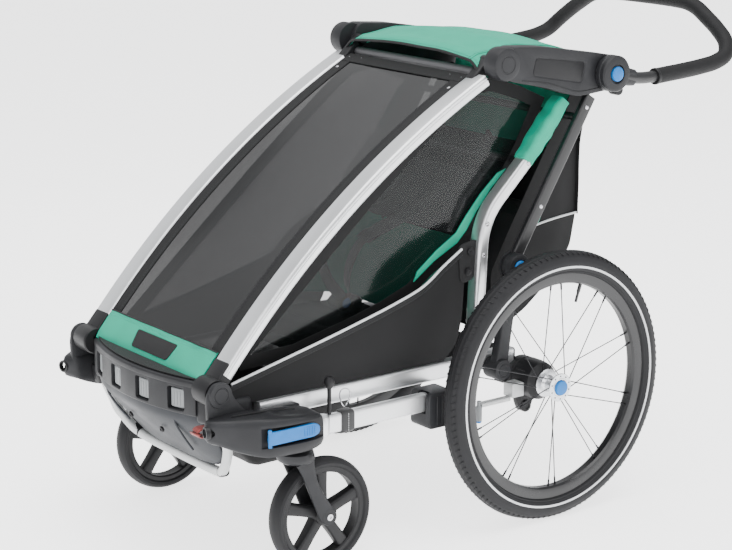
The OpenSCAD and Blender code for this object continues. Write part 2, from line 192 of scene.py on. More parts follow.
class ShaderGraph:
    """A material under construction."""

    def __init__(self, name: str) -> None:
        """Starts a material that holds one Principled shader.

        Args:
            name: what the new piece is called.
        """
        self.material = bpy.data.materials.new(name)
        self.material.use_nodes = True
        self.tree = self.material.node_tree
        self.tree.nodes.clear()
        self.output = self.node("ShaderNodeOutputMaterial")
        self.shader = self.node("ShaderNodeBsdfPrincipled")
        self.tree.links.new(self.shader.outputs[0], self.output.inputs["Surface"])

    def node(self, kind: str, settings: dict[str, Any] | None = None,
            values: dict[Any, Any] | None = None) -> bpy.types.Node:
        """Adds a node.

        Args:
            kind: the node's type.
            settings: its properties, set first; "stops" fills a colour ramp.
            values: numbers, colours or signals for its input sockets, by name or index.

        Returns:
            The new node.
        """
        made = self.tree.nodes.new(kind)
        for key, value in (settings or {}).items():
            setattr(made, key, value)
        for key, value in (values or {}).items():
            socket = made.inputs[key]
            if isinstance(value, Signal):
                self.tree.links.new(value.socket, socket)
            else:
                socket.default_value = value
        return made

    def set(self, **values: Any) -> None:
        """Sets the Principled shader's inputs, with underscores for spaces.

        Args:
            values: each input's value, by its name.
        """
        for key, value in values.items():
            socket = self.shader.inputs[key.replace("_", " ")]
            if isinstance(value, Signal):
                self.tree.links.new(value.socket, socket)
            elif isinstance(value, tuple) and len(value) == 3:
                socket.default_value = (*value, 1.0)
            else:
                socket.default_value = value

    def place(self, stretch: Sequence[float] = (1, 1, 1)) -> Signal:
        """Object coordinates, stretched along the axes.

        Args:
            stretch: how much each axis is stretched.

        Returns:
            The coordinates.
        """
        coordinates = self.node("ShaderNodeTexCoord")
        mapped = self.node("ShaderNodeMapping", values={"Vector": Signal(self, coordinates.outputs["Object"]),
            "Scale": tuple(stretch)})
        return Signal(self, mapped.outputs[0])

    def cloth_place(self) -> tuple[Signal, Signal]:
        """The cloth's own two directions, in metres, from its UV map."""
        split = self.node("ShaderNodeSeparateXYZ", values={0: Signal(self,
            self.node("ShaderNodeUVMap", {"uv_map": "cloth"}).outputs[0])})
        return Signal(self, split.outputs[0]), Signal(self, split.outputs[1])

    def noise(self, scale: float, detail: float = 3.0, stretch: Sequence[float] = (1, 1, 1)) -> Signal:
        """Fractal noise over the object, around 0.5."""
        made = self.node("ShaderNodeTexNoise", values={"Vector": self.place(stretch), "Scale": scale,
            "Detail": detail})
        return Signal(self, made.outputs[0])

    def cells(self, scale: float) -> Signal:
        """Distance to the nearest of evenly scattered points."""
        made = self.node("ShaderNodeTexVoronoi", values={"Vector": self.place(), "Scale": scale})
        return Signal(self, made.outputs["Distance"])

    def mix(self, amount: Signal, low: Sequence[float], high: Sequence[float]) -> Signal:
        """Mixes two colours by a signal."""
        made = self.node("ShaderNodeMix", {"data_type": "RGBA"}, {"Factor": amount, 6: (*low, 1.0), 7: (*high, 1.0)})
        return Signal(self, made.outputs[2])

    def bump(self, height: Signal, depth: float, strength: float = 1.0) -> None:
        """Raises the surface's shading by height times depth, in metres."""
        made = self.node("ShaderNodeBump", values={"Height": height, "Distance": depth, "Strength": strength})
        self.set(Normal=Signal(self, made.outputs[0]))


# ---------------------------------------------------------------- finishes

Colour = tuple[float, float, float]


def shaded(colour: Colour, factor: float) -> Colour:
    """A colour made darker or lighter."""
    return tuple(min(1.0, c * factor) for c in colour)


@dataclass(frozen=True)
class Finish:
    """A finish: the record's slot, a colour and how rough it is."""

    slot: str
    colour: Colour
    roughness: float

    def dress(self, graph: ShaderGraph) -> None:
        """Fills in the material; each kind of finish has its own way."""
        graph.set(Base_Color=self.colour, Roughness=self.roughness)

    def material(self) -> bpy.types.Material:
        """The material, made once.

        Returns:
            The finish's material.
        """
        name = f"{self.slot}_{type(self).__name__.lower()}_{abs(hash(self.colour)) % 997:03d}"
        found = _MADE.get(self)
        if found is None:
            graph = ShaderGraph(name)
            self.dress(graph)
            found = graph.material
            _MADE[self] = found
        return found


_MADE: dict[Finish, bpy.types.Material] = {}


@dataclass(frozen=True)
class Anodised(Finish):
    """Satin anodised aluminium, drawn lengthwise."""

    draw_axis: int = 1

    def dress(self, graph: ShaderGraph) -> None:
        """Fine drawing lines and a faint cloudiness.

        Args:
            graph: the shader that it fills.
        """
        stretch = [900.0, 900.0, 900.0]
        stretch[self.draw_axis] = 12.0
        lines = graph.noise(1.0, 2.0, stretch)
        cloud = graph.noise(9.0, 4.0)
        tone = lines * 0.35 + cloud * 0.65
        graph.set(Metallic=0.9, Base_Color=graph.mix(tone.ramp(0.3, 0.7), shaded(self.colour, 0.93), self.colour),
            Roughness=tone.ramp(0.25, 0.75, self.roughness - 0.05, self.roughness + 0.07))
        graph.bump(lines, 0.00004, 0.6)


@dataclass(frozen=True)
class Moulded(Finish):
    """Moulded plastic with a fine spark grain."""

    grain: float = 1500.0
    depth: float = 0.00006

    def dress(self, graph: ShaderGraph) -> None:
        """A grained skin with slight flow marks and rubbed patches.

        Args:
            graph: the shader that it fills.
        """
        grain = graph.cells(self.grain)
        cloud = graph.noise(14.0, 5.0)
        rubbed = cloud.ramp(0.45, 0.75)
        graph.set(Base_Color=graph.mix(rubbed, self.colour, shaded(self.colour, 1.35)),
            Roughness=cloud.ramp(0.3, 0.7, self.roughness + 0.05, self.roughness - 0.07), Specular_IOR_Level=0.26)
        graph.bump(grain, self.depth, 0.7)


@dataclass(frozen=True)
class Coated(Finish):
    """Powder coat or glossy lacquer with faint orange peel."""

    metallic: float = 0.0

    def dress(self, graph: ShaderGraph) -> None:
        """A smooth skin with orange peel.

        Args:
            graph: the shader that it fills.
        """
        peel = graph.noise(260.0, 2.0)
        cloud = graph.noise(18.0, 3.0)
        graph.set(Metallic=self.metallic, Base_Color=graph.mix(cloud, shaded(self.colour, 0.9), self.colour),
            Roughness=cloud.ramp(0.3, 0.7, self.roughness - 0.04, self.roughness + 0.05))
        graph.bump(peel, 0.0001, 0.5)


@dataclass(frozen=True)
class Woven(Finish):
    """Plain-weave cloth on the piece's own cloth map."""

    pitch: float = 0.0011
    fuzz: float = 0.25
    depth: float = 0.00018

    def dress(self, graph: ShaderGraph) -> None:
        """Threads over and under, uneven dye and a soft sheen.

        Args:
            graph: the shader that it fills.
        """
        across, along = graph.cloth_place()
        turn = math.pi / self.pitch
        warp = abs((across * turn).sine())
        weft = abs((along * turn).sine())
        over = ((across * turn * 0.5).sine() * (along * turn * 0.5).sine()).ramp(-0.25, 0.25)
        thread = over * warp + (1 - over) * weft
        dye = graph.noise(22.0, 5.0)
        tone = thread * 0.55 + dye * 0.45
        graph.set(Base_Color=graph.mix(tone.ramp(0.2, 0.85), shaded(self.colour, 0.74), shaded(self.colour, 1.1)),
            Roughness=self.roughness, Sheen_Weight=self.fuzz, Sheen_Roughness=0.45, Specular_IOR_Level=0.3)
        graph.bump(thread * 0.8 + dye * 0.6, self.depth, 0.8)


@dataclass(frozen=True)
class Webbing(Finish):
    """Narrow woven strap with a herringbone face."""

    def dress(self, graph: ShaderGraph) -> None:
        """Herringbone ribs across the strap.

        Args:
            graph: the shader that it fills.
        """
        across, along = graph.cloth_place()
        slant = abs((across * 420.0).sine()) * 2.4 + along * 2900.0
        rib = slant.sine() * 0.5 + 0.5
        graph.set(Base_Color=graph.mix(rib, shaded(self.colour, 0.6), self.colour), Roughness=self.roughness,
            Sheen_Weight=0.2)
        graph.bump(rib, 0.0003, 0.7)


@dataclass(frozen=True)
class Film(Finish):
    """Clear or tinted window film."""

    cover: float = 0.5

    def dress(self, graph: ShaderGraph) -> None:
        """A glossy, partly clear skin with slow waves.

        Args:
            graph: the shader that it fills.
        """
        wave = graph.noise(5.0, 2.0)
        graph.set(Base_Color=self.colour, Alpha=self.cover, Roughness=self.roughness, Specular_IOR_Level=0.3,
            Coat_Weight=0.15, Coat_Roughness=0.05)
        graph.bump(wave, 0.004, 0.25)


@dataclass(frozen=True)
class Rubber(Finish):
    """Tyre rubber or foam."""

    pores: float = 1100.0
    depth: float = 0.0001

    def dress(self, graph: ShaderGraph) -> None:
        """Dull skin with pores and a dusty bloom.

        Args:
            graph: the shader that it fills.
        """
        pore = graph.noise(self.pores, 3.0)
        bloom = graph.noise(30.0, 5.0)
        graph.set(Base_Color=graph.mix(bloom.ramp(0.35, 0.8), self.colour, shaded(self.colour, 1.6)),
            Roughness=bloom.ramp(0.3, 0.7, self.roughness, self.roughness + 0.12), Specular_IOR_Level=0.26)
        graph.bump(pore, self.depth, 0.6)


@dataclass(frozen=True)
class Glow(Finish):
    """Reflective tape and piping: a pale skin with fine beads."""

    def dress(self, graph: ShaderGraph) -> None:
        """Bead texture under a soft gloss.

        Args:
            graph: the shader that it fills.
        """
        bead = graph.cells(1600.0)
        graph.set(Base_Color=graph.mix(bead.ramp(0.1, 0.5), shaded(self.colour, 0.85), self.colour),
            Roughness=self.roughness, Metallic=0.15, Coat_Weight=0.2)
        graph.bump(bead, 0.00008, 0.5)


# Finishes of this trailer
SILVER = Anodised("satin_silver", (0.74, 0.75, 0.76), 0.33)
SILVER_CROSS = Anodised("satin_silver", (0.74, 0.75, 0.76), 0.35, 0)
SILVER_UP = Anodised("satin_silver", (0.72, 0.73, 0.74), 0.33, 2)
GUARD_SILVER = Coated("satin_silver", (0.52, 0.53, 0.53), 0.38, 0.35)
PLASTIC = Moulded("black_plastic", (0.009, 0.009, 0.010), 0.46)
PLASTIC_SOFT = Moulded("black_plastic", (0.0135, 0.0138, 0.0155), 0.5, 1100.0, 0.00009)
GREY_PANEL = Moulded("grey_plastic", (0.019, 0.021, 0.025), 0.55, 900.0, 0.0001)
PALE_INSERT = Moulded("grey_plastic", (0.22, 0.23, 0.235), 0.5)
BLACK_TUBE = Coated("black_paint", (0.008, 0.008, 0.009), 0.36)
GREY_TUBE = Coated("black_paint", (0.10, 0.10, 0.105), 0.42, 0.3)
GREEN = Woven("green_fabric", (0.003, 0.36, 0.225), 0.66, fuzz=0.03)
GREEN_INSIDE = Woven("green_fabric", (0.012, 0.33, 0.215), 0.74, fuzz=0.05)
BLACK_CLOTH = Woven("black_fabric", (0.0045, 0.0045, 0.005), 0.74, 0.0013, 0.03)
HEM = Woven("black_fabric", (0.0060, 0.0060, 0.0066), 0.64, 0.0009, 0.05)
GREY_CLOTH = Woven("grey_fabric", (0.010, 0.010, 0.0115), 0.78, 0.0016, 0.08)
PAD_CLOTH = Woven("grey_fabric", (0.030, 0.030, 0.034), 0.8, 0.0014, 0.1)
STRAP = Webbing("black_fabric", (0.012, 0.012, 0.013), 0.6)
RED_STRAP = Webbing("red_web", (0.27, 0.022, 0.016), 0.55)
FRONT_FILM = Film("film", (0.004, 0.0042, 0.0046), 0.09, 0.84)
SIDE_FILM = Film("film", (0.005, 0.0065, 0.0065), 0.10, 0.46)
TYRE = Rubber("tyre", (0.0085, 0.0085, 0.0095), 0.56)
FOAM = Rubber("foam", (0.0065, 0.0065, 0.007), 0.62, 700.0, 0.00022)
RIM = Coated("rim_black", (0.008, 0.008, 0.009), 0.3)
SPOKE = Coated("spoke_steel", (0.02, 0.02, 0.022), 0.28, 0.8)
HUB = Anodised("hub_silver", (0.66, 0.67, 0.69), 0.27, 0)
STEEL = Coated("hub_silver", (0.55, 0.55, 0.57), 0.24, 1.0)
BLUE = Moulded("blue_plastic", (0.010, 0.140, 0.42), 0.33, 1800.0, 0.00002)
PIPING = Glow("black_fabric", (0.62, 0.63, 0.64), 0.4)
STITCH = Coated("grey_fabric", (0.03, 0.03, 0.032), 0.8)
GREEN_STITCH = Coated("green_fabric", (0.03, 0.40, 0.29), 0.8)


# ---------------------------------------------------------------- mesh making


def unit(vector: Vector) -> Vector:
    """The direction of a vector."""
    return vector.normalized() if vector.length > 1e-12 else Vector((0, 0, 1))


def curve_through(points: Points, steps: int = 8, closed: bool = False) -> list[Vector]:
    """A smooth curve through points.

    Args:
        points: the points, in order.
        steps: how many pieces each span is cut into.
        closed: joins the last point to the first.

    Returns:
        The points of the curve.
    """
    knots = [Vector(p) for p in points]
    count = len(knots)
    spans = count if closed else count - 1
    made: list[Vector] = []
    for i in range(spans):
        if closed:
            a, b, c, d = (knots[(i + k) % count] for k in (-1, 0, 1, 2))
        else:
            b, c = knots[i], knots[i + 1]
            a = knots[i - 1] if i else b * 2 - c
            d = knots[i + 2] if i + 2 < count else c * 2 - b
        chord = [max((q - p).length, 1e-9) ** 0.5 for p, q in ((a, b), (b, c), (c, d))]
        leave = ((b - a) / chord[0] - (c - a) / (chord[0] + chord[1]) + (c - b) / chord[1]) * chord[1]
        enter = ((c - b) / chord[1] - (d - b) / (chord[1] + chord[2]) + (d - c) / chord[2]) * chord[1]
        for k in range(steps):
            t = k / steps
            made.append(b * (2 * t**3 - 3 * t**2 + 1) + leave * (t**3 - 2 * t**2 + t) + c * (3 * t**2 - 2 * t**3)
                + enter * (t**3 - t**2))
    if not closed:
        made.append(knots[-1].copy())
    return made


def rounded_corners(points: Points, radius: float, steps: int = 5, closed: bool = True) -> list[Vector]:
    """An outline with its corners rounded.

    Args:
        points: the corners.
        radius: how far from each corner the rounding starts.
        steps: the number of pieces in each corner.
        closed: rounds the first and the last corner too.

    Returns:
        The rounded outline.
    """
    corners = [Vector(p) for p in points]
    made: list[Vector] = []
    for i, corner in enumerate(corners):
        if not closed and i in (0, len(corners) - 1):
            made.append(corner)
            continue
        before, after = corners[i - 1], corners[(i + 1) % len(corners)]
        cut = min(radius, (before - corner).length * 0.45, (after - corner).length * 0.45)
        start = corner + unit(before - corner) * cut
        end = corner + unit(after - corner) * cut
        for k in range(steps + 1):
            t = k / steps
            made.append(start * (1 - t) ** 2 + corner * 2 * t * (1 - t) + end * t * t)
    return made


def circle(radius: float, count: int, squash: float = 1.0) -> list[tuple[float, float]]:
    """Points of a round or oval section."""
    return [(radius * math.cos(math.tau * k / count),
        radius * squash * math.sin(math.tau * k / count)) for k in range(count)]


def rounded_box(width: float, height: float, radius: float, steps: int = 4) -> list[tuple[float, float]]:
    """Section of a rectangular tube with round corners.

    Args:
        width: size across.
        height: size upwards.
        radius: radius in metres.
        steps: how many steps each stretch is cut into.

    Returns:
        The points of the section.
    """
    made = []
    for cx, cy, start in ((1, 1, 0.0), (-1, 1, 0.25), (-1, -1, 0.5), (1, -1, 0.75)):
        for k in range(steps + 1):
            angle = math.tau * (start + 0.25 * k / steps)
            made.append((cx * (width / 2 - radius) + radius * math.cos(angle),
                cy * (height / 2 - radius) + radius * math.sin(angle)))
    return made


def from_faces(name: str, points: Points, faces: Iterable[Sequence[int]]) -> bpy.types.Object:
    """An object from points and faces.

    Args:
        name: what the new piece is called.
        points: the places of the points.
        faces: the point numbers round each face.

    Returns:
        The new piece.
    """
    mesh = bpy.data.meshes.new(name)
    mesh.from_pydata([tuple(p) for p in points], [], [tuple(f) for f in faces])
    made = bpy.data.objects.new(name, mesh)
    bpy.context.scene.collection.objects.link(made)
    return made


def surface(name: str, rows: Sequence[Points], closed: bool = False, capped: bool = False) -> bpy.types.Object:
    """A surface through rows of points, with a cloth map in metres.

    Args:
        name: the object's name.
        rows: rows of points, all of one length.
        closed: joins the end of each row to its start.
        capped: closes the first and the last row with a face.

    Returns:
        The new object.
    """
    grid = np.array([[tuple(p) for p in row] for row in rows], float)
    count, width = grid.shape[:2]
    spans = width if closed else width - 1
    faces = [(i * width + k, i * width + (k + 1) % width, (i + 1) * width + (k + 1) % width,
        (i + 1) * width + k) for i in range(count - 1) for k in range(spans)]
    if capped:
        faces += [tuple(range(width - 1, -1, -1)), tuple((count - 1) * width + k for k in range(width))]
    made = from_faces(name, grid.reshape(-1, 3), faces)
    ring = np.concatenate([grid, grid[:, :1]], 1) if closed else grid
    across = np.linalg.norm(np.diff(ring, axis=1), axis=2).mean(0)
    along = np.linalg.norm(np.diff(grid, axis=0), axis=2).mean(1)
    u = np.concatenate([[0], np.cumsum(across)])
    v = np.concatenate([[0], np.cumsum(along)])
    layer = made.data.uv_layers.new(name="cloth")
    corner = 0
    for i in range(count - 1):
        for k in range(spans):
            for du, dv in ((0, 0), (1, 0), (1, 1), (0, 1)):
                layer.data[corner].uv = (u[k + du], v[i + dv])
                corner += 1
    return made


def flat_map(made: bpy.types.Object, first: int = 1, second: int = 2) -> bpy.types.Object:
    """Gives a mesh a cloth map laid flat on two of the axes.

    Args:
        made: the piece that is changed.
        first: the axis that becomes the map's first value.
        second: the axis that becomes its second value.

    Returns:
        The same piece.
    """
    layer = made.data.uv_layers.get("cloth") or made.data.uv_layers.new(name="cloth")
    for loop in made.data.loops:
        point = made.data.vertices[loop.vertex_index].co
        layer.data[loop.index].uv = (point[first], point[second])
    return made


def swept(name: str, path: Points, section: Sequence[Sequence[float]], up: Sequence[float] = (0, 0, 1),
        closed: bool = False, scale: Callable[[float], float] | None = None) -> bpy.types.Object:
    """A section swept along a path.

    Args:
        name: the object's name.
        path: the points of the path.
        section: the section's points, as (sideways, upwards).
        up: the direction that the section's second axis leans to.
        closed: joins the path's end to its start.
        scale: the section's size against the share of the way along.

    Returns:
        The new object, with closed ends.
    """
    line = [Vector(p) for p in path]
    count = len(line)
    rows = []
    for i, point in enumerate(line):
        after = line[(i + 1) % count] if closed else line[min(i + 1, count - 1)]
        before = line[i - 1] if closed else line[max(i - 1, 0)]
        ahead = unit(after - before)
        side = unit(ahead.cross(Vector(up)))
        rise = side.cross(ahead)
        size = scale(i / (count - 1)) if scale else 1.0
        rows.append([point + side * (a * size) + rise * (b * size) for a, b in section])
    if closed:
        rows.append(rows[0])
    made = surface(name, rows, closed=True, capped=not closed)
    return outwards(made) if not closed else merged(made)


def plate(name: str, outline: Points, low: float, high: float) -> bpy.types.Object:
    """A side-view outline, as (y, z), made solid between two sideways places.

    Args:
        name: what the new piece is called.
        outline: points of the side-view outline, as (y, z).
        low: the inner sideways place.
        high: the outer sideways place.

    Returns:
        The solid.
    """
    count = len(outline)
    points = [(x, p[0], p[1]) for x in (low, high) for p in outline]
    faces = [tuple(range(count)), tuple(range(2 * count - 1, count - 1, -1))]
    faces += [(k, k + count, (k + 1) % count + count, (k + 1) % count) for k in range(count)]
    return flat_map(outwards(from_faces(name, points, faces)))


def slab(name: str, outline: Points, low: float, high: float) -> bpy.types.Object:
    """A plan-view outline, as (x, y), made solid between two heights.

    Args:
        name: what the new piece is called.
        outline: points of the plan-view outline, as (x, y).
        low: the lower height.
        high: the upper height.

    Returns:
        The solid.
    """
    count = len(outline)
    points = [(p[0], p[1], z) for z in (low, high) for p in outline]
    faces = [tuple(range(count)), tuple(range(2 * count - 1, count - 1, -1))]
    faces += [(k, k + count, (k + 1) % count + count, (k + 1) % count) for k in range(count)]
    return flat_map(outwards(from_faces(name, points, faces)), 0, 1)


def turned(name: str, centre: Sequence[float], profile: Points, count: int = 64,
        axis: Sequence[float] = (1, 0, 0)) -> bpy.types.Object:
    """A profile, as (radius, place along the axis), turned about an axis through a point.

    A profile that starts and ends on the axis is closed there; any other is a closed loop.

    Args:
        name: what the new piece is called.
        centre: a point on the axis.
        profile: the profile, as (radius, place along the axis).
        count: how many faces go round.
        axis: the direction of the axis.

    Returns:
        The turned piece.
    """
    ahead = unit(Vector(axis))
    first = unit(ahead.orthogonal())
    second = ahead.cross(first)
    solid = profile[0][0] < 1e-9 and profile[-1][0] < 1e-9
    loop = list(profile) if solid else [*profile, profile[0]]
    rows = []
    for radius, place in loop:
        rows.append([Vector(centre) + ahead * place + (first * math.cos(math.tau * k / count) + second
            * math.sin(math.tau * k / count)) * radius for k in range(count)])
    return merged(surface(name, rows, closed=True))


def outwards(made: bpy.types.Object) -> bpy.types.Object:
    """Turns a closed mesh's faces outwards.

    Args:
        made: the piece that is changed.

    Returns:
        The same piece, with its faces turned outwards.
    """
    work = bmesh.new()
    work.from_mesh(made.data)
    bmesh.ops.recalc_face_normals(work, faces=work.faces)
    work.to_mesh(made.data)
    work.free()
    return made


def merged(made: bpy.types.Object) -> bpy.types.Object:
    """Merges doubled points, drops faces without area and turns the rest outwards.

    Args:
        made: the piece that is changed.

    Returns:
        The same piece.
    """
    work = bmesh.new()
    work.from_mesh(made.data)
    bmesh.ops.remove_doubles(work, verts=work.verts, dist=1e-6)
    bmesh.ops.dissolve_degenerate(work, edges=work.edges, dist=1e-7)
    bmesh.ops.recalc_face_normals(work, faces=work.faces)
    work.to_mesh(made.data)
    work.free()
    return made


def joined(name: str, parts: Sequence[bpy.types.Object]) -> bpy.types.Object:
    """Joins several new objects into one.

    Args:
        name: what the new piece is called.
        parts: the pieces that become one.

    Returns:
        The one piece.
    """
    for other in bpy.context.selected_objects:
        other.select_set(False)
    for part in parts:
        part.select_set(True)
    bpy.context.view_layer.objects.active = parts[0]
    bpy.ops.object.join()
    parts[0].name = name
    parts[0].data.name = name
    return parts[0]


def mirrored(made: bpy.types.Object, side: Side) -> bpy.types.Object:
    """Moves a piece made for the left side to the side asked for."""
    if side is Side.RIGHT:
        made.data.transform(Matrix.Diagonal((-1, 1, 1, 1)))
        made.data.flip_normals()
    return made


def modified(made: bpy.types.Object, kind: str, **settings: Any) -> bpy.types.Object:
    """Adds a modifier with its settings and applies it.

    Args:
        made: the piece that is changed.
        kind: the modifier's type.
        settings: its properties, by name.

    Returns:
        The changed piece.
    """
    added = made.modifiers.new(kind.lower(), kind)
    for key, value in settings.items():
        setattr(added, key, value)
    return applied(made)


def applied(made: bpy.types.Object) -> bpy.types.Object:
    """Replaces a piece's mesh by what its modifiers make of it.

    Args:
        made: the piece that is changed.

    Returns:
        The piece as a plain mesh.
    """
    graph = bpy.context.evaluated_depsgraph_get()
    graph.update()
    mesh = bpy.data.meshes.new_from_object(made.evaluated_get(graph), depsgraph=graph)
    old = made.data
    made.modifiers.clear()
    made.data = mesh
    mesh.name = made.name
    bpy.data.meshes.remove(old)
    return made


def softened(made: bpy.types.Object, width: float, segments: int = 3, angle: float = 0.6) -> bpy.types.Object:
    """Rounds a hard piece's sharp edges."""
    return modified(made, "BEVEL", width=width, segments=segments, limit_method="ANGLE", angle_limit=angle,
        use_clamp_overlap=True, harden_normals=False)


def thickened(made: bpy.types.Object, thickness: float, offset: float = 0.0) -> bpy.types.Object:
    """Gives a sheet its thickness."""
    return modified(made, "SOLIDIFY", thickness=thickness, offset=offset, use_even_offset=True,
        use_quality_normals=True)


def smoothed(made: bpy.types.Object, angle: float = 0.7) -> bpy.types.Object:
    """Shades a mesh smoothly except across sharp edges.

    Args:
        made: the piece that is changed.
        angle: the steepest angle that is still shaded smooth.

    Returns:
        The same piece.
    """
    mesh = made.data
    mesh.polygons.foreach_set("use_smooth", [True] * len(mesh.polygons))
    work = bmesh.new()
    work.from_mesh(mesh)
    for edge in work.edges:
        edge.smooth = not (len(edge.link_faces) == 2 and edge.calc_face_angle(0.0) > angle)
    work.to_mesh(mesh)
    work.free()
    return made


def minus(made: bpy.types.Object, cutters: Sequence[bpy.types.Object]) -> bpy.types.Object:
    """Cuts other pieces out of one, and removes them."""
    for cutter in cutters:
        modified(made, "BOOLEAN", operation="DIFFERENCE", solver="EXACT", object=cutter)
        bpy.data.objects.remove(cutter)
    return made


def crumpled(made: bpy.types.Object, depth: float, scale: float, seed: float = 0.0,
        fixed: Callable[[Vector], float] | None = None) -> bpy.types.Object:
    """Moves a sheet's points along its normals by smooth noise, as slack cloth does.

    Args:
        made: the piece that is changed.
        depth: how far the surface moves.
        scale: how fine the noise is.
        seed: picks the noise, so that it stays the same.
        fixed: how freely each place may move, from 0 to 1.

    Returns:
        The same piece.
    """
    mesh = made.data
    normals = [v.normal.copy() for v in mesh.vertices]
    for vertex, normal in zip(mesh.vertices, normals):
        amount = noise.noise(vertex.co * scale + Vector((seed, seed * 1.7, seed * 0.3)))
        hold = fixed(vertex.co) if fixed else 1.0
        vertex.co += normal * (amount * depth * hold)
    return made


# ---------------------------------------------------------------- geometry nodes


class NodeShape:
    """A Geometry Nodes tree under construction, with named inputs."""

    def __init__(self, name: str, inputs: dict[str, str]) -> None:
        """Starts a tree whose inputs are named sockets of the given kinds.

        Args:
            name: what the new piece is called.
            inputs: the named inputs of the tree.
        """
        self.tree = bpy.data.node_groups.new(name, "GeometryNodeTree")
        self.tree.interface.new_socket("Geometry", in_out="INPUT", socket_type="NodeSocketGeometry")
        self.sockets = {key: self.tree.interface.new_socket(key, in_out="INPUT", socket_type=kind) for key,
            kind in inputs.items()}
        self.tree.interface.new_socket("Geometry", in_out="OUTPUT", socket_type="NodeSocketGeometry")
        self.start = self.tree.nodes.new("NodeGroupInput")
        self.end = self.tree.nodes.new("NodeGroupOutput")

    def given(self, key: str) -> bpy.types.NodeSocket:
        """The socket that carries one of the tree's inputs."""
        return self.start.outputs[key]

    def node(self, kind: str, settings: dict[str, Any] | None = None,
            values: dict[Any, Any] | None = None) -> bpy.types.Node:
        """Adds a node, sets its properties, then its values or links.

        Args:
            kind: the node's type.
            settings: its properties, set first.
            values: the settings, by name.

        Returns:
            The node.
        """
        made = self.tree.nodes.new(kind)
        for key, value in (settings or {}).items():
            setattr(made, key, value)
        for key, value in (values or {}).items():
            if isinstance(value, bpy.types.NodeSocket):
                self.tree.links.new(value, made.inputs[key])
            else:
                made.inputs[key].default_value = value
        return made

    def finish(self, geometry: bpy.types.NodeSocket) -> None:
        """Ends the tree in Realize Instances and Set Material.

        Args:
            geometry: the socket that carries the shape.
        """
        real = self.node("GeometryNodeRealizeInstances", values={0: geometry})
        dressed = self.node("GeometryNodeSetMaterial",
            values={"Geometry": real.outputs[0], "Material": self.given("Finish")})
        self.tree.links.new(dressed.outputs[0], self.end.inputs[0])

    def grow(self, made: bpy.types.Object, **values: Any) -> bpy.types.Object:
        """Runs the tree on an object and keeps the mesh that it makes.

        Args:
            made: the piece that is changed.
            values: each named input's value.

        Returns:
            The grown piece.
        """
        added = made.modifiers.new("shape", "NODES")
        added.node_group = self.tree
        for key, value in values.items():
            added[self.sockets[key].identifier] = value
        return applied(made)


def ring_tree() -> NodeShape:
    """A tree that repeats a piece around an axle that runs along X.

    Returns:
        The shape, ready to grow.
    """
    shape = NodeShape("repeat_around_axle", {"Count": "NodeSocketInt", "Axle": "NodeSocketVector",
        "Finish": "NodeSocketMaterial"})
    points = shape.node("GeometryNodePoints", values={"Count": shape.given("Count"), "Position": shape.given("Axle")})
    index = shape.node("GeometryNodeInputIndex")
    part = shape.node("ShaderNodeMath", {"operation": "DIVIDE"}, {0: index.outputs[0], 1: shape.given("Count")})
    angle = shape.node("ShaderNodeMath", {"operation": "MULTIPLY"}, {0: part.outputs[0], 1: math.tau})
    turn = shape.node("ShaderNodeCombineXYZ", values={"X": angle.outputs[0]})
    back = shape.node("ShaderNodeVectorMath", {"operation": "SCALE"}, {0: shape.given("Axle"), "Scale": -1.0})
    centred = shape.node("GeometryNodeTransform", values={"Geometry": shape.given("Geometry"),
        "Translation": back.outputs[0]})
    placed = shape.node("GeometryNodeInstanceOnPoints", values={"Points": points.outputs[0],
        "Instance": centred.outputs[0], "Rotation": turn.outputs[0]})
    shape.finish(placed.outputs[0])
    return shape


def stitch_tree() -> NodeShape:
    """A tree that lays short stitches along the edges of a line.

    Returns:
        The shape, ready to grow.
    """
    shape = NodeShape("stitches_along_seam", {"Pitch": "NodeSocketFloat", "Length": "NodeSocketFloat",
        "Width": "NodeSocketFloat", "Finish": "NodeSocketMaterial"})
    line = shape.node("GeometryNodeMeshToCurve", values={0: shape.given("Geometry")})
    points = shape.node("GeometryNodeCurveToPoints", {"mode": "LENGTH"},
        {"Curve": line.outputs[0], "Length": shape.given("Pitch")})
    size = shape.node("ShaderNodeCombineXYZ", values={"X": shape.given("Width"), "Y": shape.given("Width"),
        "Z": shape.given("Length")})
    stitch = shape.node("GeometryNodeMeshCube", values={"Size": size.outputs[0]})
    placed = shape.node("GeometryNodeInstanceOnPoints", values={"Points": points.outputs["Points"],
        "Instance": stitch.outputs[0], "Rotation": points.outputs["Rotation"]})
    shape.finish(placed.outputs[0])
    return shape


def stud_tree() -> NodeShape:
    """A tree that puts a domed head, facing along X, on each point.

    Returns:
        The shape, ready to grow.
    """
    shape = NodeShape("heads_on_points", {"Radius": "NodeSocketFloat", "Finish": "NodeSocketMaterial"})
    ball = shape.node("GeometryNodeMeshUVSphere",
        values={"Segments": 20, "Rings": 10, "Radius": shape.given("Radius")})
    flat = shape.node("GeometryNodeTransform", values={"Geometry": ball.outputs[0], "Scale": (0.45, 1.0, 1.0)})
    placed = shape.node("GeometryNodeInstanceOnPoints",
        values={"Points": shape.given("Geometry"), "Instance": flat.outputs[0]})
    shape.finish(placed.outputs[0])
    return shape


# ---------------------------------------------------------------- the trailer's frame


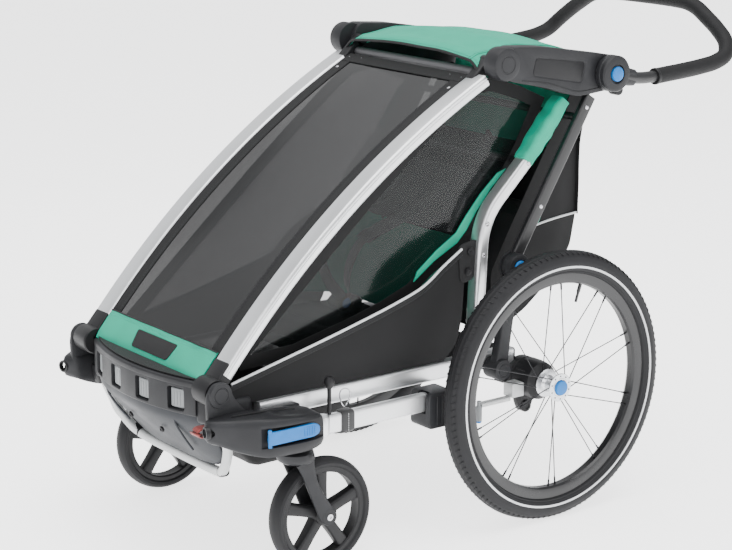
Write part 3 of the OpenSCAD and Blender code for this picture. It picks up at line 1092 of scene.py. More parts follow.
class TrailerFrame:
    """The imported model: hinges, boxes and the place of the axle."""

    def __init__(self) -> None:
        """Loads the frame and notes its box."""
        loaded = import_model()
        self.joints = {joint["name"]: joint for joint in loaded["joints"]}
        self.nodes = loaded["nodes"]
        self.cad_box = [list(corner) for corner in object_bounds()]
        self.axle = self.pivot("wheel_spin_left")
        self.ring = ring_tree()
        self.stitches = stitch_tree()
        self.studs = stud_tree()

    def pivot(self, joint: str) -> Vector:
        """A joint's place."""
        return Vector(self.joints[joint]["pos_m"])

    def at(self, x: float, y: float, z: float) -> Vector:
        """A point given sideways, behind the axle and above the ground."""
        return Vector((x, y + self.axle.y, z))

    def side_points(self, outline: Points) -> list[tuple[float, float]]:
        """Side-view points given behind the axle, as places in the frame."""
        return [(p[0] + self.axle.y, p[1]) for p in outline]


@dataclass(frozen=True)
class Bow:
    """The arc that the front tubes and the windscreen follow in the side view."""

    low: tuple[float, float] = (-0.655, 0.368)
    high: tuple[float, float] = (-0.100, 0.813)
    radius: float = 1.736

    @property
    def centre(self) -> Vector:
        """Centre of the arc.

        Returns:
            The centre, as (y, z).
        """
        low, high = Vector(self.low), Vector(self.high)
        along = unit(high - low)
        half = (high - low).length / 2
        return (low + high) / 2 + Vector((along.y, -along.x)) * math.sqrt(self.radius**2 - half**2)

    @property
    def length(self) -> float:
        """Length of the arc."""
        half = (Vector(self.high) - Vector(self.low)).length / 2
        return 2 * self.radius * math.asin(half / self.radius)

    def point(self, along: float, x: float = 0.0, lift: float = 0.0) -> tuple[float, float, float]:
        """A point some way up the arc, lifted square to it; the second value is behind the axle.

        Args:
            along: length along the arc from its foot.
            x: sideways place.
            lift: how far it is lifted off.

        Returns:
            The point, as (x, y behind the axle, z).
        """
        centre = self.centre
        start = math.atan2(self.low[1] - centre.y, self.low[0] - centre.x)
        angle = start - along / self.radius
        reach = self.radius + lift
        return x, centre.x + reach * math.cos(angle), centre.y + reach * math.sin(angle)


class Assembly:
    """A group of pieces that is built and dressed together."""

    def __init__(self, frame: TrailerFrame) -> None:
        """Keeps the frame that the pieces are built around."""
        self.frame = frame

    def keep(self, made: bpy.types.Object, finish: Finish, body: str, replaces: Sequence[str] = (),
            sharp: float = 0.7) -> bpy.types.Object:
        """Dresses a finished piece and fixes it to its body.

        Args:
            made: the piece.
            finish: its finish.
            body: the frame's body that it moves with.
            replaces: the frame's nodes that it stands for.
            sharp: edges that turn by more than this stay sharp, in radians.

        Returns:
            The piece.
        """
        made.data.materials.clear()
        made.data.materials.append(finish.material())
        smoothed(made, sharp)
        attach(made, body.value if isinstance(body, Body) else body)
        if replaces:
            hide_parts(*replaces)
        log.info("%s on %s: %d faces", made.name, body, len(made.data.polygons))
        return made

    def stitch(self, name: str, path: Points, body: str, finish: Finish = STITCH, pitch: float = 0.0055,
            length: float = 0.0034, width: float = 0.0007) -> bpy.types.Object:
        """Lays a row of stitches along a path.

        Args:
            name: what the new piece is called.
            path: the points of its route.
            body: the body that it rides on.
            finish: the finish that it gets.
            pitch: distance between stitches.
            length: length of one stitch.
            width: thickness of the thread.

        Returns:
            The row of stitches.
        """
        line = [Vector(p) for p in path]
        made = bpy.data.objects.new(name, bpy.data.meshes.new(name))
        made.data.from_pydata([tuple(p) for p in line], [(i, i + 1) for i in range(len(line) - 1)], [])
        bpy.context.scene.collection.objects.link(made)
        self.frame.stitches.grow(made, Pitch=pitch, Length=length, Width=width, Finish=finish.material())
        return self.keep(made, finish, body)

    def heads(self, name: str, points: Points, radius: float, finish: Finish, body: str) -> bpy.types.Object:
        """Puts rivet heads that face sideways on points.

        Args:
            name: what the new piece is called.
            points: the places of the points.
            radius: radius of one head.
            finish: the finish that it gets.
            body: the body that it rides on.

        Returns:
            The heads.
        """
        made = from_faces(name, points, [])
        self.frame.studs.grow(made, Radius=radius, Finish=finish.material())
        return self.keep(made, finish, body)

    def around(self, made: bpy.types.Object, axle: Sequence[float], count: int, finish: Finish) -> bpy.types.Object:
        """Repeats a piece around an axle."""
        return self.frame.ring.grow(made, Count=count, Axle=tuple(axle), Finish=finish.material())


# ---------------------------------------------------------------- wheels


@dataclass
class RearWheel:
    """A spoked rear wheel with its tyre, hub and release button."""

    frame: TrailerFrame
    side: Side
    radius: float = 0.25
    tyre: float = 0.0225
    rim_seat: float = 0.206
    rim_inner: float = 0.190
    tape: float = 0.2225
    spokes: int = 20
    flange: float = 0.026

    def __post_init__(self) -> None:
        """Finds the wheel's axle and body."""
        self.shop = Assembly(self.frame)
        self.body = f"rear_wheel_{self.side.tag}"
        self.centre = self.frame.pivot(f"wheel_spin_{self.side.tag}")
        self.middle = Vector((abs(self.centre.x), self.centre.y, self.centre.z))
        low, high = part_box(f"hub_{self.side.tag}")
        self.hub_in = min(abs(low.x), abs(high.x)) - self.middle.x
        self.hub_out = max(abs(low.x), abs(high.x)) - self.middle.x

    def build(self) -> None:
        """Makes the whole wheel."""
        self.make_tyre()
        self.make_rim()
        self.make_spokes()
        self.make_hub()

    def keep(self, made: bpy.types.Object, finish: Finish, replaces: Sequence[str] = (), sharp: float = 0.7,
            body: str = "") -> bpy.types.Object:
        """Puts a piece made for the left wheel on this one."""
        return self.shop.keep(mirrored(made, self.side), finish, body or self.body, replaces, sharp)

    def make_tyre(self) -> None:
        """Tyre with shoulder ribs, cross cuts and a reflective ring on the sidewall."""
        tag = self.side.tag
        belly = self.radius - self.tyre
        profile = []
        for k in range(41):
            angle = math.radians(-152 + 304 * k / 40)
            crown = 0.0009 * math.cos(angle * 13) if abs(math.degrees(angle)) < 58 else 0.0
            reach = self.tyre - 0.0009 + crown
            profile.append((belly + reach * math.cos(angle), reach * math.sin(angle)))
        inner = [(self.rim_seat + 0.0005, 0.0125), (self.rim_seat + 0.0005, -0.0125)]
        tyre = turned(f"tyre_{tag}", self.middle, [*profile, *inner], 144)
        self.keep(tyre, TYRE, (f"rear_tyre_{tag}",), 0.9)
        lug = swept("lug", [self.middle + Vector((x, 0.0012 * k,
            math.sqrt((self.tyre - 0.0002) ** 2 - x * x) + belly)) for k,
            x in enumerate((0.0085, 0.011, 0.0135, 0.0155))], rounded_box(0.0028, 0.0011, 0.0003, 1), (0, 0, 1))
        other = lug.copy()
        other.data = lug.data.copy()
        bpy.context.scene.collection.objects.link(other)
        other.data.transform(Matrix.Translation(self.middle) @ Matrix.Diagonal((-1, -1, 1, 1)) @ Matrix.Translation(
            -self.middle))
        lugs = self.shop.around(joined(f"tread_{tag}", [lug, other]), self.middle, 120, TYRE)
        self.keep(lugs, TYRE)
        face = math.sqrt((self.tyre - 0.0009) ** 2 - (self.tape - belly) ** 2)
        ring = turned(f"tape_{tag}", self.middle, [(self.tape - 0.0021, face - 0.0012),
            (self.tape - 0.0019, face + 0.0007), (self.tape + 0.0019, face + 0.0004),
            (self.tape + 0.0021, face - 0.0014)], 144)
        self.keep(ring, PIPING)
        bead = turned(f"bead_{tag}", self.middle, [(self.rim_seat + 0.0045, 0.0155), (self.rim_seat + 0.006, 0.0172),
            (self.rim_seat + 0.0078, 0.0172), (self.rim_seat + 0.0085, 0.015)], 144)
        self.keep(bead, TYRE)

    def make_rim(self) -> None:
        """Box-section rim with a braking face and a valve."""
        tag = self.side.tag
        seat, inner = self.rim_seat, self.rim_inner
        profile = [(inner, -0.006), (inner + 0.0025, -0.0105), (seat - 0.006, -0.0125), (seat + 0.0035, -0.0128),
            (seat + 0.0035, -0.0112), (seat - 0.001, -0.0108), (seat - 0.001, 0.0108), (seat + 0.0035, 0.0112),
            (seat + 0.0035, 0.0128), (seat - 0.006, 0.0125), (inner + 0.0025, 0.0105), (inner, 0.006)]
        self.keep(turned(f"rim_{tag}", self.middle, profile, 144), RIM, (f"rear_rim_{tag}",), 0.5)
        valve = turned(f"valve_{tag}", self.middle + Vector((0, 0, 0)), [(0, inner - 0.034), (0.0022, inner - 0.034),
            (0.0026, inner - 0.032), (0.0026, inner - 0.016), (0.0034, inner - 0.014), (0.0034, inner + 0.004),
            (0, inner + 0.004)], 16, (0, 0.31, 0.95))
        self.keep(valve, RIM)

    def make_spokes(self) -> None:
        """Crossed spokes in pairs, with nipples at the rim."""
        tag = self.side.tag
        pairs = self.spokes // 2
        parts = []
        for place, turn, lean in ((self.hub_out - 0.0015, 32, 3), (self.hub_in + 0.0015, -32, -3)):
            start, end = math.radians(turn), math.radians(lean)
            root = self.middle + Vector((place, math.sin(start) * 0.0215, math.cos(start) * 0.0215))
            rim = self.middle + Vector((math.copysign(0.002, place), math.sin(end) * (self.rim_inner + 0.001),
                math.cos(end) * (self.rim_inner + 0.001)))
            along = unit(rim - root)
            parts.append(swept("spoke", [root, rim], circle(0.00095, 8), (0, 1, 0)))
            parts.append(swept("nipple", [rim - along * 0.013, rim - along * 0.0115, rim], circle(0.0017, 8),
                (0, 1, 0), scale=lambda t: 0.75 if t == 0 else 1.0))
        made = self.shop.around(joined(f"spoke_set_{tag}", parts), self.middle, pairs, SPOKE)
        self.keep(made, SPOKE, (f"spokes_{tag}",))

    def make_hub(self) -> None:
        """Silver hub with two drilled flanges and a blue release button."""
        tag = self.side.tag
        a, b = self.hub_in, self.hub_out
        profile = [(0.0, a + 0.0005), (0.017, a), (0.0252, a), (0.026, a + 0.0008), (0.026, a + 0.0024),
            (0.0245, a + 0.0032), (0.016, a + 0.0044), (0.0118, a + 0.009), (0.0115, (a + b) / 2),
            (0.0125, b - 0.011), (0.0165, b - 0.0055), (0.0235, b - 0.0034), (0.026, b - 0.0024), (0.026, b - 0.0008),
            (0.0252, b), (0.0178, b + 0.0004), (0.0172, b + 0.0012), (0.0150, b + 0.0012), (0.0146, b - 0.004),
            (0.0, b - 0.004)]
        self.keep(turned(f"hub_shell_{tag}", self.middle, profile, 64), HUB, (f"hub_{tag}",), 0.5)
        holes = turned("hole", self.middle + Vector((b - 0.0006, 0, 0.0212)),
            [(0, 0.0012), (0.0014, 0.0012), (0.0016, 0.0), (0, 0.0)], 10)
        made = self.shop.around(holes, self.middle, self.spokes // 2, SPOKE)
        made.name = f"spoke_heads_{tag}"
        self.keep(made, SPOKE)
        low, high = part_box(f"hub_button_{tag}")
        face = max(abs(low.x), abs(high.x)) - self.middle.x
        button = turned(f"release_button_{tag}", self.middle, [(0, face - 0.009), (0.0138, face - 0.009),
            (0.0138, face - 0.0022), (0.0128, face - 0.0007), (0.0105, face), (0.0, face - 0.0003)], 40)
        self.keep(button, BLUE, (f"hub_button_{tag}",), 0.6, f"wheel_button_{tag}")


@dataclass
class Castor:
    """A front castor: fork, tyre and five-spoke wheel."""

    frame: TrailerFrame
    side: Side
    radius: float = 0.1
    width: float = 0.034
    spokes: int = 5
    leg: float = 0.025

    def __post_init__(self) -> None:
        """Finds the castor's axle, stem and bodies."""
        self.shop = Assembly(self.frame)
        axle = self.frame.pivot(f"castor_spin_{self.side.tag}")
        stem = self.frame.pivot(f"castor_swivel_{self.side.tag}")
        self.axle = Vector((abs(axle.x), axle.y, axle.z))
        self.stem = Vector((abs(stem.x), stem.y, stem.z))

    def keep(self, made: bpy.types.Object, finish: Finish, body: str, replaces: Sequence[str] = (),
            sharp: float = 0.7) -> bpy.types.Object:
        """Puts a piece made for the left castor on this one."""
        return self.shop.keep(mirrored(made, self.side), finish, f"{body}_{self.side.tag}", replaces, sharp)

    def build(self) -> None:
        """Makes the whole castor."""
        self.make_wheel()
        self.make_fork()

    def make_wheel(self) -> None:
        """Solid tyre on a moulded wheel with broad spokes."""
        tag = self.side.tag
        half = self.width / 2
        profile = [(0.0835, -0.0125), (0.0865, -half + 0.001), (0.0915, -half), (0.0955, -half + 0.0022),
            (0.0985, -0.0085), (0.0997, -0.004), (0.1, 0.0), (0.0997, 0.004), (0.0985, 0.0085),
            (0.0955, half - 0.0022), (0.0915, half), (0.0865, half - 0.001), (0.0835, 0.0125)]
        self.keep(turned(f"castor_rubber_{tag}", self.axle, profile, 112), TYRE, "castor_wheel",
            (f"castor_tyre_{tag}",), 0.5)
        band = turned("band", self.axle, [(0.0745, -0.0105), (0.077, -0.0128), (0.0838, -0.0128), (0.0838, 0.0128),
            (0.077, 0.0128), (0.0745, 0.0105), (0.0758, 0.0)], 96)
        hub = turned("hub", self.axle, [(0.0043, -0.0185), (0.014, -0.0185), (0.0175, -0.0165), (0.0185, -0.008),
            (0.0185, 0.008), (0.0175, 0.0165), (0.014, 0.0185), (0.0043, 0.0185)], 48)
        rows = []
        for k in range(9):
            t = k / 8
            reach = 0.014 + 0.0635 * t
            broad = 0.0085 + 0.0035 * t * t + 0.002 * (1 - t) ** 2
            deep = 0.0125 - 0.003 * t
            rows.append([self.axle + Vector((x * deep / 0.5, y * broad / 0.5, reach)) for x,
                y in rounded_box(1.0, 1.0, 0.24, 3)])
        arm = outwards(surface("arm", rows, closed=True, capped=True))
        arms = self.shop.around(arm, self.axle, self.spokes, PLASTIC)
        made = joined(f"castor_wheel_body_{tag}", [band, hub, arms])
        self.keep(made, PLASTIC, "castor_wheel", (f"castor_rim_{tag}",), 0.6)

    def make_fork(self) -> None:
        """Crown, two tapered legs and the axle screws."""
        tag = self.side.tag
        crown, crown_radius = self.stem.z, 0.033
        outline = [Vector((crown_radius * math.cos(a) * 1.02, crown_radius * math.sin(a))) for a in (math.tau * k
            / 40 for k in range(40))]
        rows = []
        for z, size, back in ((crown - 0.001, 0.86, 0.004), (crown + 0.003, 0.97, 0.002), (crown + 0.010, 1.0, 0.0),
                (crown + 0.017, 0.97, -0.001), (crown + 0.0205, 0.82, -0.002)):
            rows.append([Vector((self.stem.x + p.x * size, self.stem.y + p.y * size + back, z)) for p in outline])
        body = outwards(surface("crown", rows, closed=True, capped=True))
        collar = turned("collar", (self.stem.x, self.stem.y, crown), [(0, 0.019), (0.0245, 0.019), (0.0255, 0.021),
            (0.0255, 0.027), (0.0235, 0.0285), (0, 0.0285)], 40, (0, 0, 1))
        stem = turned("stem", (self.stem.x, self.stem.y, crown), [(0, 0.028), (0.0155, 0.028), (0.0155, 0.034),
            (0.008, 0.0345), (0.008, 0.056), (0, 0.056)], 28, (0, 0, 1))
        legs = []
        top = Vector((0, self.stem.y + 0.004, crown + 0.006))
        foot = Vector((0, self.axle.y, self.axle.z))
        for m in (-1, 1):
            rows = []
            for k in range(15):
                t = k / 14
                centre = top.lerp(foot, t)
                centre.y -= 0.006 * math.sin(math.pi * t)
                broad = 0.019 - 0.0085 * math.sin(math.pi * min(1, t * 0.9) ** 0.8) * 0.9
                if t > 0.8:
                    broad = max(broad, math.sqrt(max(0.0, 0.0145**2 - ((0.985 - t) * 0.3 * 0.36) ** 2)))
                x = self.stem.x + m * (0.0245 + 0.0015 * t)
                along = unit(foot - top)
                square = Vector((0, -along.z, along.y))
                rows.append([centre + Vector((x, 0, 0)) + Vector((a * 0.0088, 0, 0)) + square * (b * 2 * broad) for a,
                    b in rounded_box(1.0, 1.0, 0.3, 3)])
            legs.append(outwards(surface("leg", rows, closed=True, capped=True)))
            legs.append(turned("boss", (self.stem.x + m * 0.0258, foot.y, foot.z), [(0, -0.0046), (0.0142, -0.0046),
                (0.0150, -0.003), (0.0150, 0.003), (0.0142, 0.0046), (0, 0.0046)], 36))
        fork = joined(f"fork_{tag}", [body, collar, stem, *legs])
        self.keep(fork, PLASTIC_SOFT, "castor", (f"castor_fork_{tag}",), 0.8)
        screw = turned(f"axle_screw_{tag}", (self.stem.x, foot.y, foot.z), [(0, -0.0315), (0.0055, -0.0315),
            (0.0062, -0.0300), (0.004, -0.0298), (0.004, 0.0298), (0.0062, 0.0300), (0.0058, 0.0318),
            (0.0026, 0.0322), (0.0024, 0.0306), (0, 0.0306)], 28)
        self.keep(screw, STEEL, "castor")


# ---------------------------------------------------------------- handlebar


@dataclass
class Handlebar:
    """The bent push bar with its grip, hubs and buttons."""

    frame: TrailerFrame
    arm_x: float = 0.257
    tube: float = 0.0110
    grip: float = 0.0148

    def build(self) -> None:
        """Makes the whole handlebar."""
        shop = Assembly(self.frame)
        at = self.frame.at
        x = self.arm_x
        half = [at(x, 0.345, 0.787), at(x, 0.395, 0.791), at(x - 0.001, 0.440, 0.797), at(x - 0.006, 0.470, 0.808),
            at(x - 0.022, 0.486, 0.829), at(x - 0.050, 0.491, 0.851), at(x - 0.080, 0.4925, 0.870),
            at(x - 0.106, 0.4935, 0.885), at(x - 0.132, 0.494, 0.893), at(x - 0.162, 0.4945, 0.8955),
            at(x - 0.21, 0.495, 0.8965)]
        start = [at(x, 0.281, 0.7832), at(x, 0.31, 0.785)]
        left = [*start, *half]
        right = [Vector((-p.x, p.y, p.z)) for p in reversed(left)]
        path = curve_through([*left, *right], 6)
        grip = swept("grip", path, circle(self.grip, 24), (0.02, 0, 1))
        shop.keep(grip, FOAM, Body.HANDLEBAR, ("handlebar_grip",))
        for side in Side:
            tag = side.tag
            arm = curve_through([at(x, 0.196, 0.7905), at(x, 0.216, 0.7865), at(x, 0.245, 0.7832),
                at(x, 0.283, 0.7833)], 6)
            tube = mirrored(swept(f"bar_tube_{tag}", arm, circle(self.tube, 24)), side)
            shop.keep(tube, BLACK_TUBE, Body.HANDLEBAR, ("handlebar_tube",) if side is Side.LEFT else ())
            ring = turned(f"grip_ring_{tag}", at(x, 0.279, 0.7831), [(0.0112, -0.003), (0.0150, -0.003),
                (0.0156, -0.0018), (0.0156, 0.0022), (0.0148, 0.0035), (0.0112, 0.0035)], 32, (0, 1, 0.03))
            shop.keep(mirrored(ring, side), PLASTIC, Body.HANDLEBAR)
            self.make_hub(shop, side)

    def make_hub(self, shop: Assembly, side: Side) -> None:
        """Round hub, its socket for the tube, and the blue button.

        Args:
            shop: the assembly that keeps the pieces.
            side: which side it is made for.
        """
        tag = side.tag
        pivot = self.frame.pivot("handlebar_tilt")
        hub = turned("hub", (self.arm_x, pivot.y, pivot.z), [(0.0, -0.0105), (0.0325, -0.0105), (0.0334, -0.009),
            (0.0334, -0.0005), (0.0325, 0.0008), (0.0334, 0.002), (0.0332, 0.0095), (0.031, 0.0125), (0.0265, 0.0138),
            (0.0185, 0.0140), (0.0172, 0.0132), (0.0165, 0.0095), (0.0, 0.0095)], 72)
        socket = swept("socket", [self.frame.at(self.arm_x, 0.188, 0.7925), self.frame.at(self.arm_x, 0.212, 0.7875),
            self.frame.at(self.arm_x, 0.222, 0.7858)], rounded_box(0.0215, 0.034, 0.009),
            scale=lambda t: 1.0 - 0.12 * t)
        made = joined(f"bar_hub_{tag}", [hub, socket])
        shop.keep(mirrored(made, side), PLASTIC_SOFT, Body.HANDLEBAR,
            ("handlebar_hubs",) if side is Side.LEFT else (), 0.55)
        low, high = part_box(f"handlebar_button_{tag}")
        face = max(abs(low.x), abs(high.x))
        button = turned(f"bar_button_{tag}", (face, pivot.y, pivot.z), [(0, -0.008), (0.0135, -0.008),
            (0.0135, -0.0025), (0.0125, -0.001), (0.010, -0.0002), (0, 0.0)], 44)
        shop.keep(mirrored(button, side), BLUE, f"handlebar_release_{tag}", (f"handlebar_button_{tag}",))
        catch = turned("catch", self.frame.at(0.2385, 0.197, 0.7635), [(0, -0.011), (0.0085, -0.011),
            (0.0095, -0.009), (0.0095, 0.009), (0.0085, 0.011), (0, 0.011)], 24)
        catch.name = f"bar_catch_{tag}"
        shop.keep(mirrored(catch, side), PLASTIC, Body.SHOULDERS)


# ---------------------------------------------------------------- chassis


BUMPER_RADIUS = 0.474
BUMPER_CENTRE_Y = -0.234


def arc_point(angle: float, radius: float = BUMPER_RADIUS, centre_y: float = BUMPER_CENTRE_Y) -> tuple[float, float]:
    """A plan-view point on the bumper's arc, by its angle from straight ahead."""
    return radius * math.sin(angle), centre_y - radius * math.cos(angle)


@dataclass
class Chassis:
    """Rails, bumper, guard, wings, axle and posts."""

    frame: TrailerFrame
    slots: tuple[float, ...] = (-0.128, -0.044, 0.044, 0.128)

    def build(self) -> None:
        """Makes the whole chassis."""
        self.shop = Assembly(self.frame)
        self.make_rails()
        self.make_bumper()
        self.make_guard()
        for side in Side:
            self.make_wing(side)
            self.make_axle_end(side)
            self.make_post(side)
        self.make_receiver()

    def make_rails(self) -> None:
        """Square side rails with end plugs and rivets, and the axle bar."""
        at = self.frame.at
        parts = []
        for side in Side:
            k = side.value
            section = rounded_box(0.028, 0.030, 0.0045)
            rail = swept(f"rail_{side.tag}", [at(0.201 * k, -0.578, 0.288), at(0.201 * k, -0.3, 0.288),
                at(0.201 * k, -0.018, 0.288)], section)
            parts.append(rail)
            plug = swept(f"rail_plug_{side.tag}", [at(0.201 * k, -0.0185, 0.288), at(0.201 * k, -0.0145, 0.288),
                at(0.201 * k, -0.013, 0.288)], rounded_box(0.0275, 0.0295, 0.0045),
                scale=lambda t: 1.0 - 0.12 * t * t)
            self.shop.keep(plug, PLASTIC, Body.CHASSIS)
            self.shop.heads(f"rail_rivets_{side.tag}", [at(0.2153 * k, y, 0.288) for y in (-0.56, -0.525, -0.05)],
                0.0045, STEEL, Body.CHASSIS)
        self.shop.keep(joined("side_rail_pair", parts), SILVER, Body.CHASSIS, ("side_rails",))
        axle = turned("axle_bar", at(0, 0, 0.25), [(0, -0.203), (0.0148, -0.203), (0.0148, 0.203), (0, 0.203)], 36)
        self.shop.keep(axle, SILVER_CROSS, Body.CHASSIS, ("rear_axle_tube",))

    def bumper_wall(self, name: str, outer: float, inner: float, low: float, high: float, half: float,
            steps: int = 72) -> bpy.types.Object:
        """A curved wall that follows the bumper's arc.

        Args:
            name: what the new piece is called.
            outer: outer radius of the wall.
            inner: inner radius of the wall.
            low: the lower height.
            high: the upper height.
            half: half of its width.
            steps: how many steps each stretch is cut into.

        Returns:
            The wall.
        """
        reach = math.asin(half / BUMPER_RADIUS)
        outline = [arc_point(reach * (2 * k / steps - 1), outer) for k in range(steps + 1)]
        outline += [arc_point(reach * (1 - 2 * k / steps), inner) for k in range(steps + 1)]
        return slab(name, [(x, y + self.frame.axle.y) for x, y in outline], low, high)

    def make_bumper(self) -> None:
        """Curved front bumper with four slots, pale inserts, a lip, a foot and end blocks."""
        wall = self.bumper_wall("bumper_wall", 0.474, 0.462, 0.288, 0.336, 0.169)
        cutters = []
        pale = []
        for place in self.slots:
            angle = math.asin(place / BUMPER_RADIUS)
            for low, high, inset, out in ((0.290, 0.3305, 0.0, cutters), (0.2935, 0.327, 0.0035, pale)):
                half = 0.019 - inset
                ends = [arc_point(angle + half * s / BUMPER_RADIUS, r) for s, r in ((-1, 0.48), (1, 0.48), (1, 0.455),
                                                                            (-1, 0.455))] if out is cutters else \
                    [arc_point(angle + half * s / BUMPER_RADIUS, r) for s, r in ((-1, 0.4690), (-0.4, 0.4700),
                    (0.4, 0.4700),
                                                                         (1, 0.4690), (1, 0.4625), (-1, 0.4625))]
                block = slab("slot", [(x, y + self.frame.axle.y) for x, y in ends], low, high)
                out.append(softened(block, 0.005 if out is cutters else 0.0022, 3))
        bumper = softened(minus(wall, cutters), 0.0022, 3)
        lip = softened(self.bumper_wall("bumper_lip", 0.4745, 0.452, 0.3325, 0.3455, 0.172), 0.0042, 4)
        foot = softened(self.bumper_wall("bumper_foot", 0.4735, 0.4525, 0.2845, 0.2915, 0.170), 0.003, 3)
        ends = []
        for side in (-1, 1):
            block = slab("end", [(side * x, y + self.frame.axle.y) for x, y in ((0.164, -0.676), (0.186, -0.668),
                (0.216, -0.645), (0.216, -0.60), (0.188, -0.572), (0.164, -0.600))], 0.272, 0.318)
            ends.append(softened(block, 0.008, 4))
        made = joined("bumper", [bumper, lip, foot, *ends])
        self.shop.keep(made, PLASTIC_SOFT, Body.CHASSIS, ("front_bumper",))
        self.shop.keep(joined("bumper_inserts", pale), PALE_INSERT, Body.CHASSIS)
        ribs = []
        for place in self.slots:
            angle = math.asin(place / BUMPER_RADIUS)
            for shift in (-0.0068, 0.0, 0.0068):
                x, y = arc_point(angle + shift / BUMPER_RADIUS, 0.4703)
                ribs.append(swept("rib", [(x, y + self.frame.axle.y, 0.298), (x, y + self.frame.axle.y, 0.3225)],
                    rounded_box(0.0016, 0.0012, 0.0005, 1), (0, 1, 0)))
        self.shop.keep(joined("insert_ribs", ribs), PALE_INSERT, Body.CHASSIS)

    def make_guard(self) -> None:
        """Pale U-shaped kick guard and the moulded front of the footwell."""
        at = self.frame.at
        half = [(0.203, -0.646, 0.276), (0.203, -0.6425, 0.262), (0.199, -0.636, 0.242), (0.191, -0.629, 0.220),
            (0.181, -0.625, 0.201), (0.170, -0.620, 0.190), (0.157, -0.615, 0.178), (0.142, -0.609, 0.168),
            (0.122, -0.603, 0.161), (0.100, -0.600, 0.158), (0.05, -0.5985, 0.1565), (0.0, -0.598, 0.156)]
        path = curve_through([at(*p) for p in half] + [at(-p[0], p[1], p[2]) for p in reversed(half[:-1])], 5)
        guard = swept("guard", path, rounded_box(0.0175, 0.0155, 0.0066, 5), (0, -1, 0.2))
        self.shop.keep(guard, GUARD_SILVER, Body.CHASSIS, ("kick_guard",))
        for side in Side:
            k = side.value
            clip = swept(f"guard_clip_{side.tag}", [at(0.203 * k, -0.6465, 0.284), at(0.203 * k, -0.6455, 0.268),
                at(0.2025 * k, -0.642, 0.254)], rounded_box(0.028, 0.026, 0.008), (0, -1, 0.2))
            self.shop.keep(clip, PLASTIC, Body.CHASSIS)
            strap = swept(f"guard_band_{side.tag}", [at(0.150 * k, -0.6095, 0.1715), at(0.134 * k, -0.6055, 0.1645)],
                rounded_box(0.0195, 0.0175, 0.0075), (0, -1, 0.2))
            self.shop.keep(strap, PLASTIC, Body.CHASSIS)
        rows = []
        levels = ((0.289, -0.677, 0.163, 0.470), (0.272, -0.672, 0.170, 0.470), (0.252, -0.658, 0.174, 0.52),
            (0.230, -0.642, 0.172, 0.62), (0.208, -0.628, 0.164, 0.80), (0.190, -0.6175, 0.150, 1.2),
            (0.176, -0.611, 0.128, 2.2), (0.168, -0.607, 0.100, 5.0))
        for z, edge_y, half_x, radius in levels:
            row = []
            for k in range(41):
                x = half_x * (k / 20 - 1)
                bow = math.sqrt(radius**2 - x * x) - math.sqrt(radius**2 - half_x**2)
                rim = 0.006 * abs(k / 20 - 1) ** 8
                row.append(at(x, edge_y - bow * 0.92 + rim, z))
            rows.append(row)
        dense = [list(r) for r in zip(*[curve_through(column, 5) for column in zip(*rows)])]
        panel = thickened(surface("footwell_front", dense), 0.005, 1.0)
        self.shop.keep(softened(panel, 0.0012, 2), GREY_PANEL, Body.CHASSIS, ("footwell_panel",))
        for k in (-1, 1):
            channel = swept(f"panel_rib_{'left' if k > 0 else 'right'}", curve_through([at(k * 0.112, -0.6865, 0.281),
                at(k * 0.113, -0.683, 0.262), at(k * 0.112, -0.668, 0.236), at(k * 0.106, -0.645, 0.205)], 6),
                rounded_box(0.006, 0.004, 0.0018, 2), (0, -1, 0.3))
            self.shop.keep(channel, GREY_PANEL, Body.CHASSIS)
        for k, tag in ((1, "left"), (-1, "right")):
            for i, (y, z) in enumerate(((-0.6905, 0.262), (-0.6765, 0.232))):
                screw = turned(f"panel_screw_{tag}_{i}", at(k * 0.052, y + 0.0015, z), [(0, -0.004), (0.0052, -0.004),
                    (0.0058, -0.0025), (0.0052, 0.0), (0.0026, 0.0006), (0.0022, -0.0012), (0, -0.0012)], 20,
                    (0, -1, -0.3))
                self.shop.keep(screw, PLASTIC, Body.CHASSIS)

    def make_wing(self, side: Side) -> None:
        """Smooth front wing that carries a castor, with its hinge lug and blue lever.

        Args:
            side: which side it is made for.
        """
        plan = [(0.221, -0.690), (0.240, -0.702), (0.262, -0.682), (0.282, -0.650), (0.298, -0.612), (0.3045, -0.568),
            (0.304, -0.532), (0.292, -0.503), (0.268, -0.4985), (0.236, -0.499), (0.224, -0.512), (0.222, -0.56),
            (0.222, -0.62), (0.220, -0.66)]
        middle = Vector((0.258, -0.590))
        outline = curve_through([(p[0], p[1], 0) for p in plan], 7, closed=True)
        rows = []
        for share, lift, drop in ((0.90, -0.004, 0.0), (0.965, 0.000, 0.0), (1.0, 0.007, 0.0), (1.0, 0.5, 0.5),
                (0.995, 0.0, 0.74), (0.975, 0.0, 0.88), (0.93, 0.0, 0.96), (0.85, 0.0, 1.0), (0.70, 0.0, 1.025),
                (0.45, 0.0, 1.045), (0.2, 0.0, 1.05)):
            row = []
            for p in outline:
                x = middle.x + (p.x - middle.x) * share
                y = middle.y + (p.y - middle.y) * share
                front = min(1.0, max(0.0, (-0.612 - p.y) / 0.085))
                low = 0.2385 + 0.025 * front**1.5
                top = 0.291 + 0.0105 * min(1.0, max(0.0, (-0.49 - p.y) / 0.15))
                z = low + (top - low) * (drop if drop else 0.0) + (lift if lift < 0.1 else 0.0)
                if share < 0.75:
                    z = top + 0.0015 * (drop - 1.0) * 20
                row.append(self.frame.at(x, y, z))
            rows.append(row)
        wing = outwards(surface("wing", rows, closed=True, capped=True))
        castor = self.frame.pivot(f"castor_swivel_{side.tag}")
        stem = Vector((abs(castor.x), castor.y, castor.z))
        recess = turned("recess", (stem.x, stem.y - 0.003, 0.297), [(0, -0.0035), (0.017, -0.0035), (0.021, 0.0),
            (0.021, 0.02), (0, 0.02)], 40, (0, 0, 1))
        recess.data.transform(Matrix.Translation((0, stem.y * -0.35, 0)) @ Matrix.Diagonal((1, 1.35, 1, 1)))
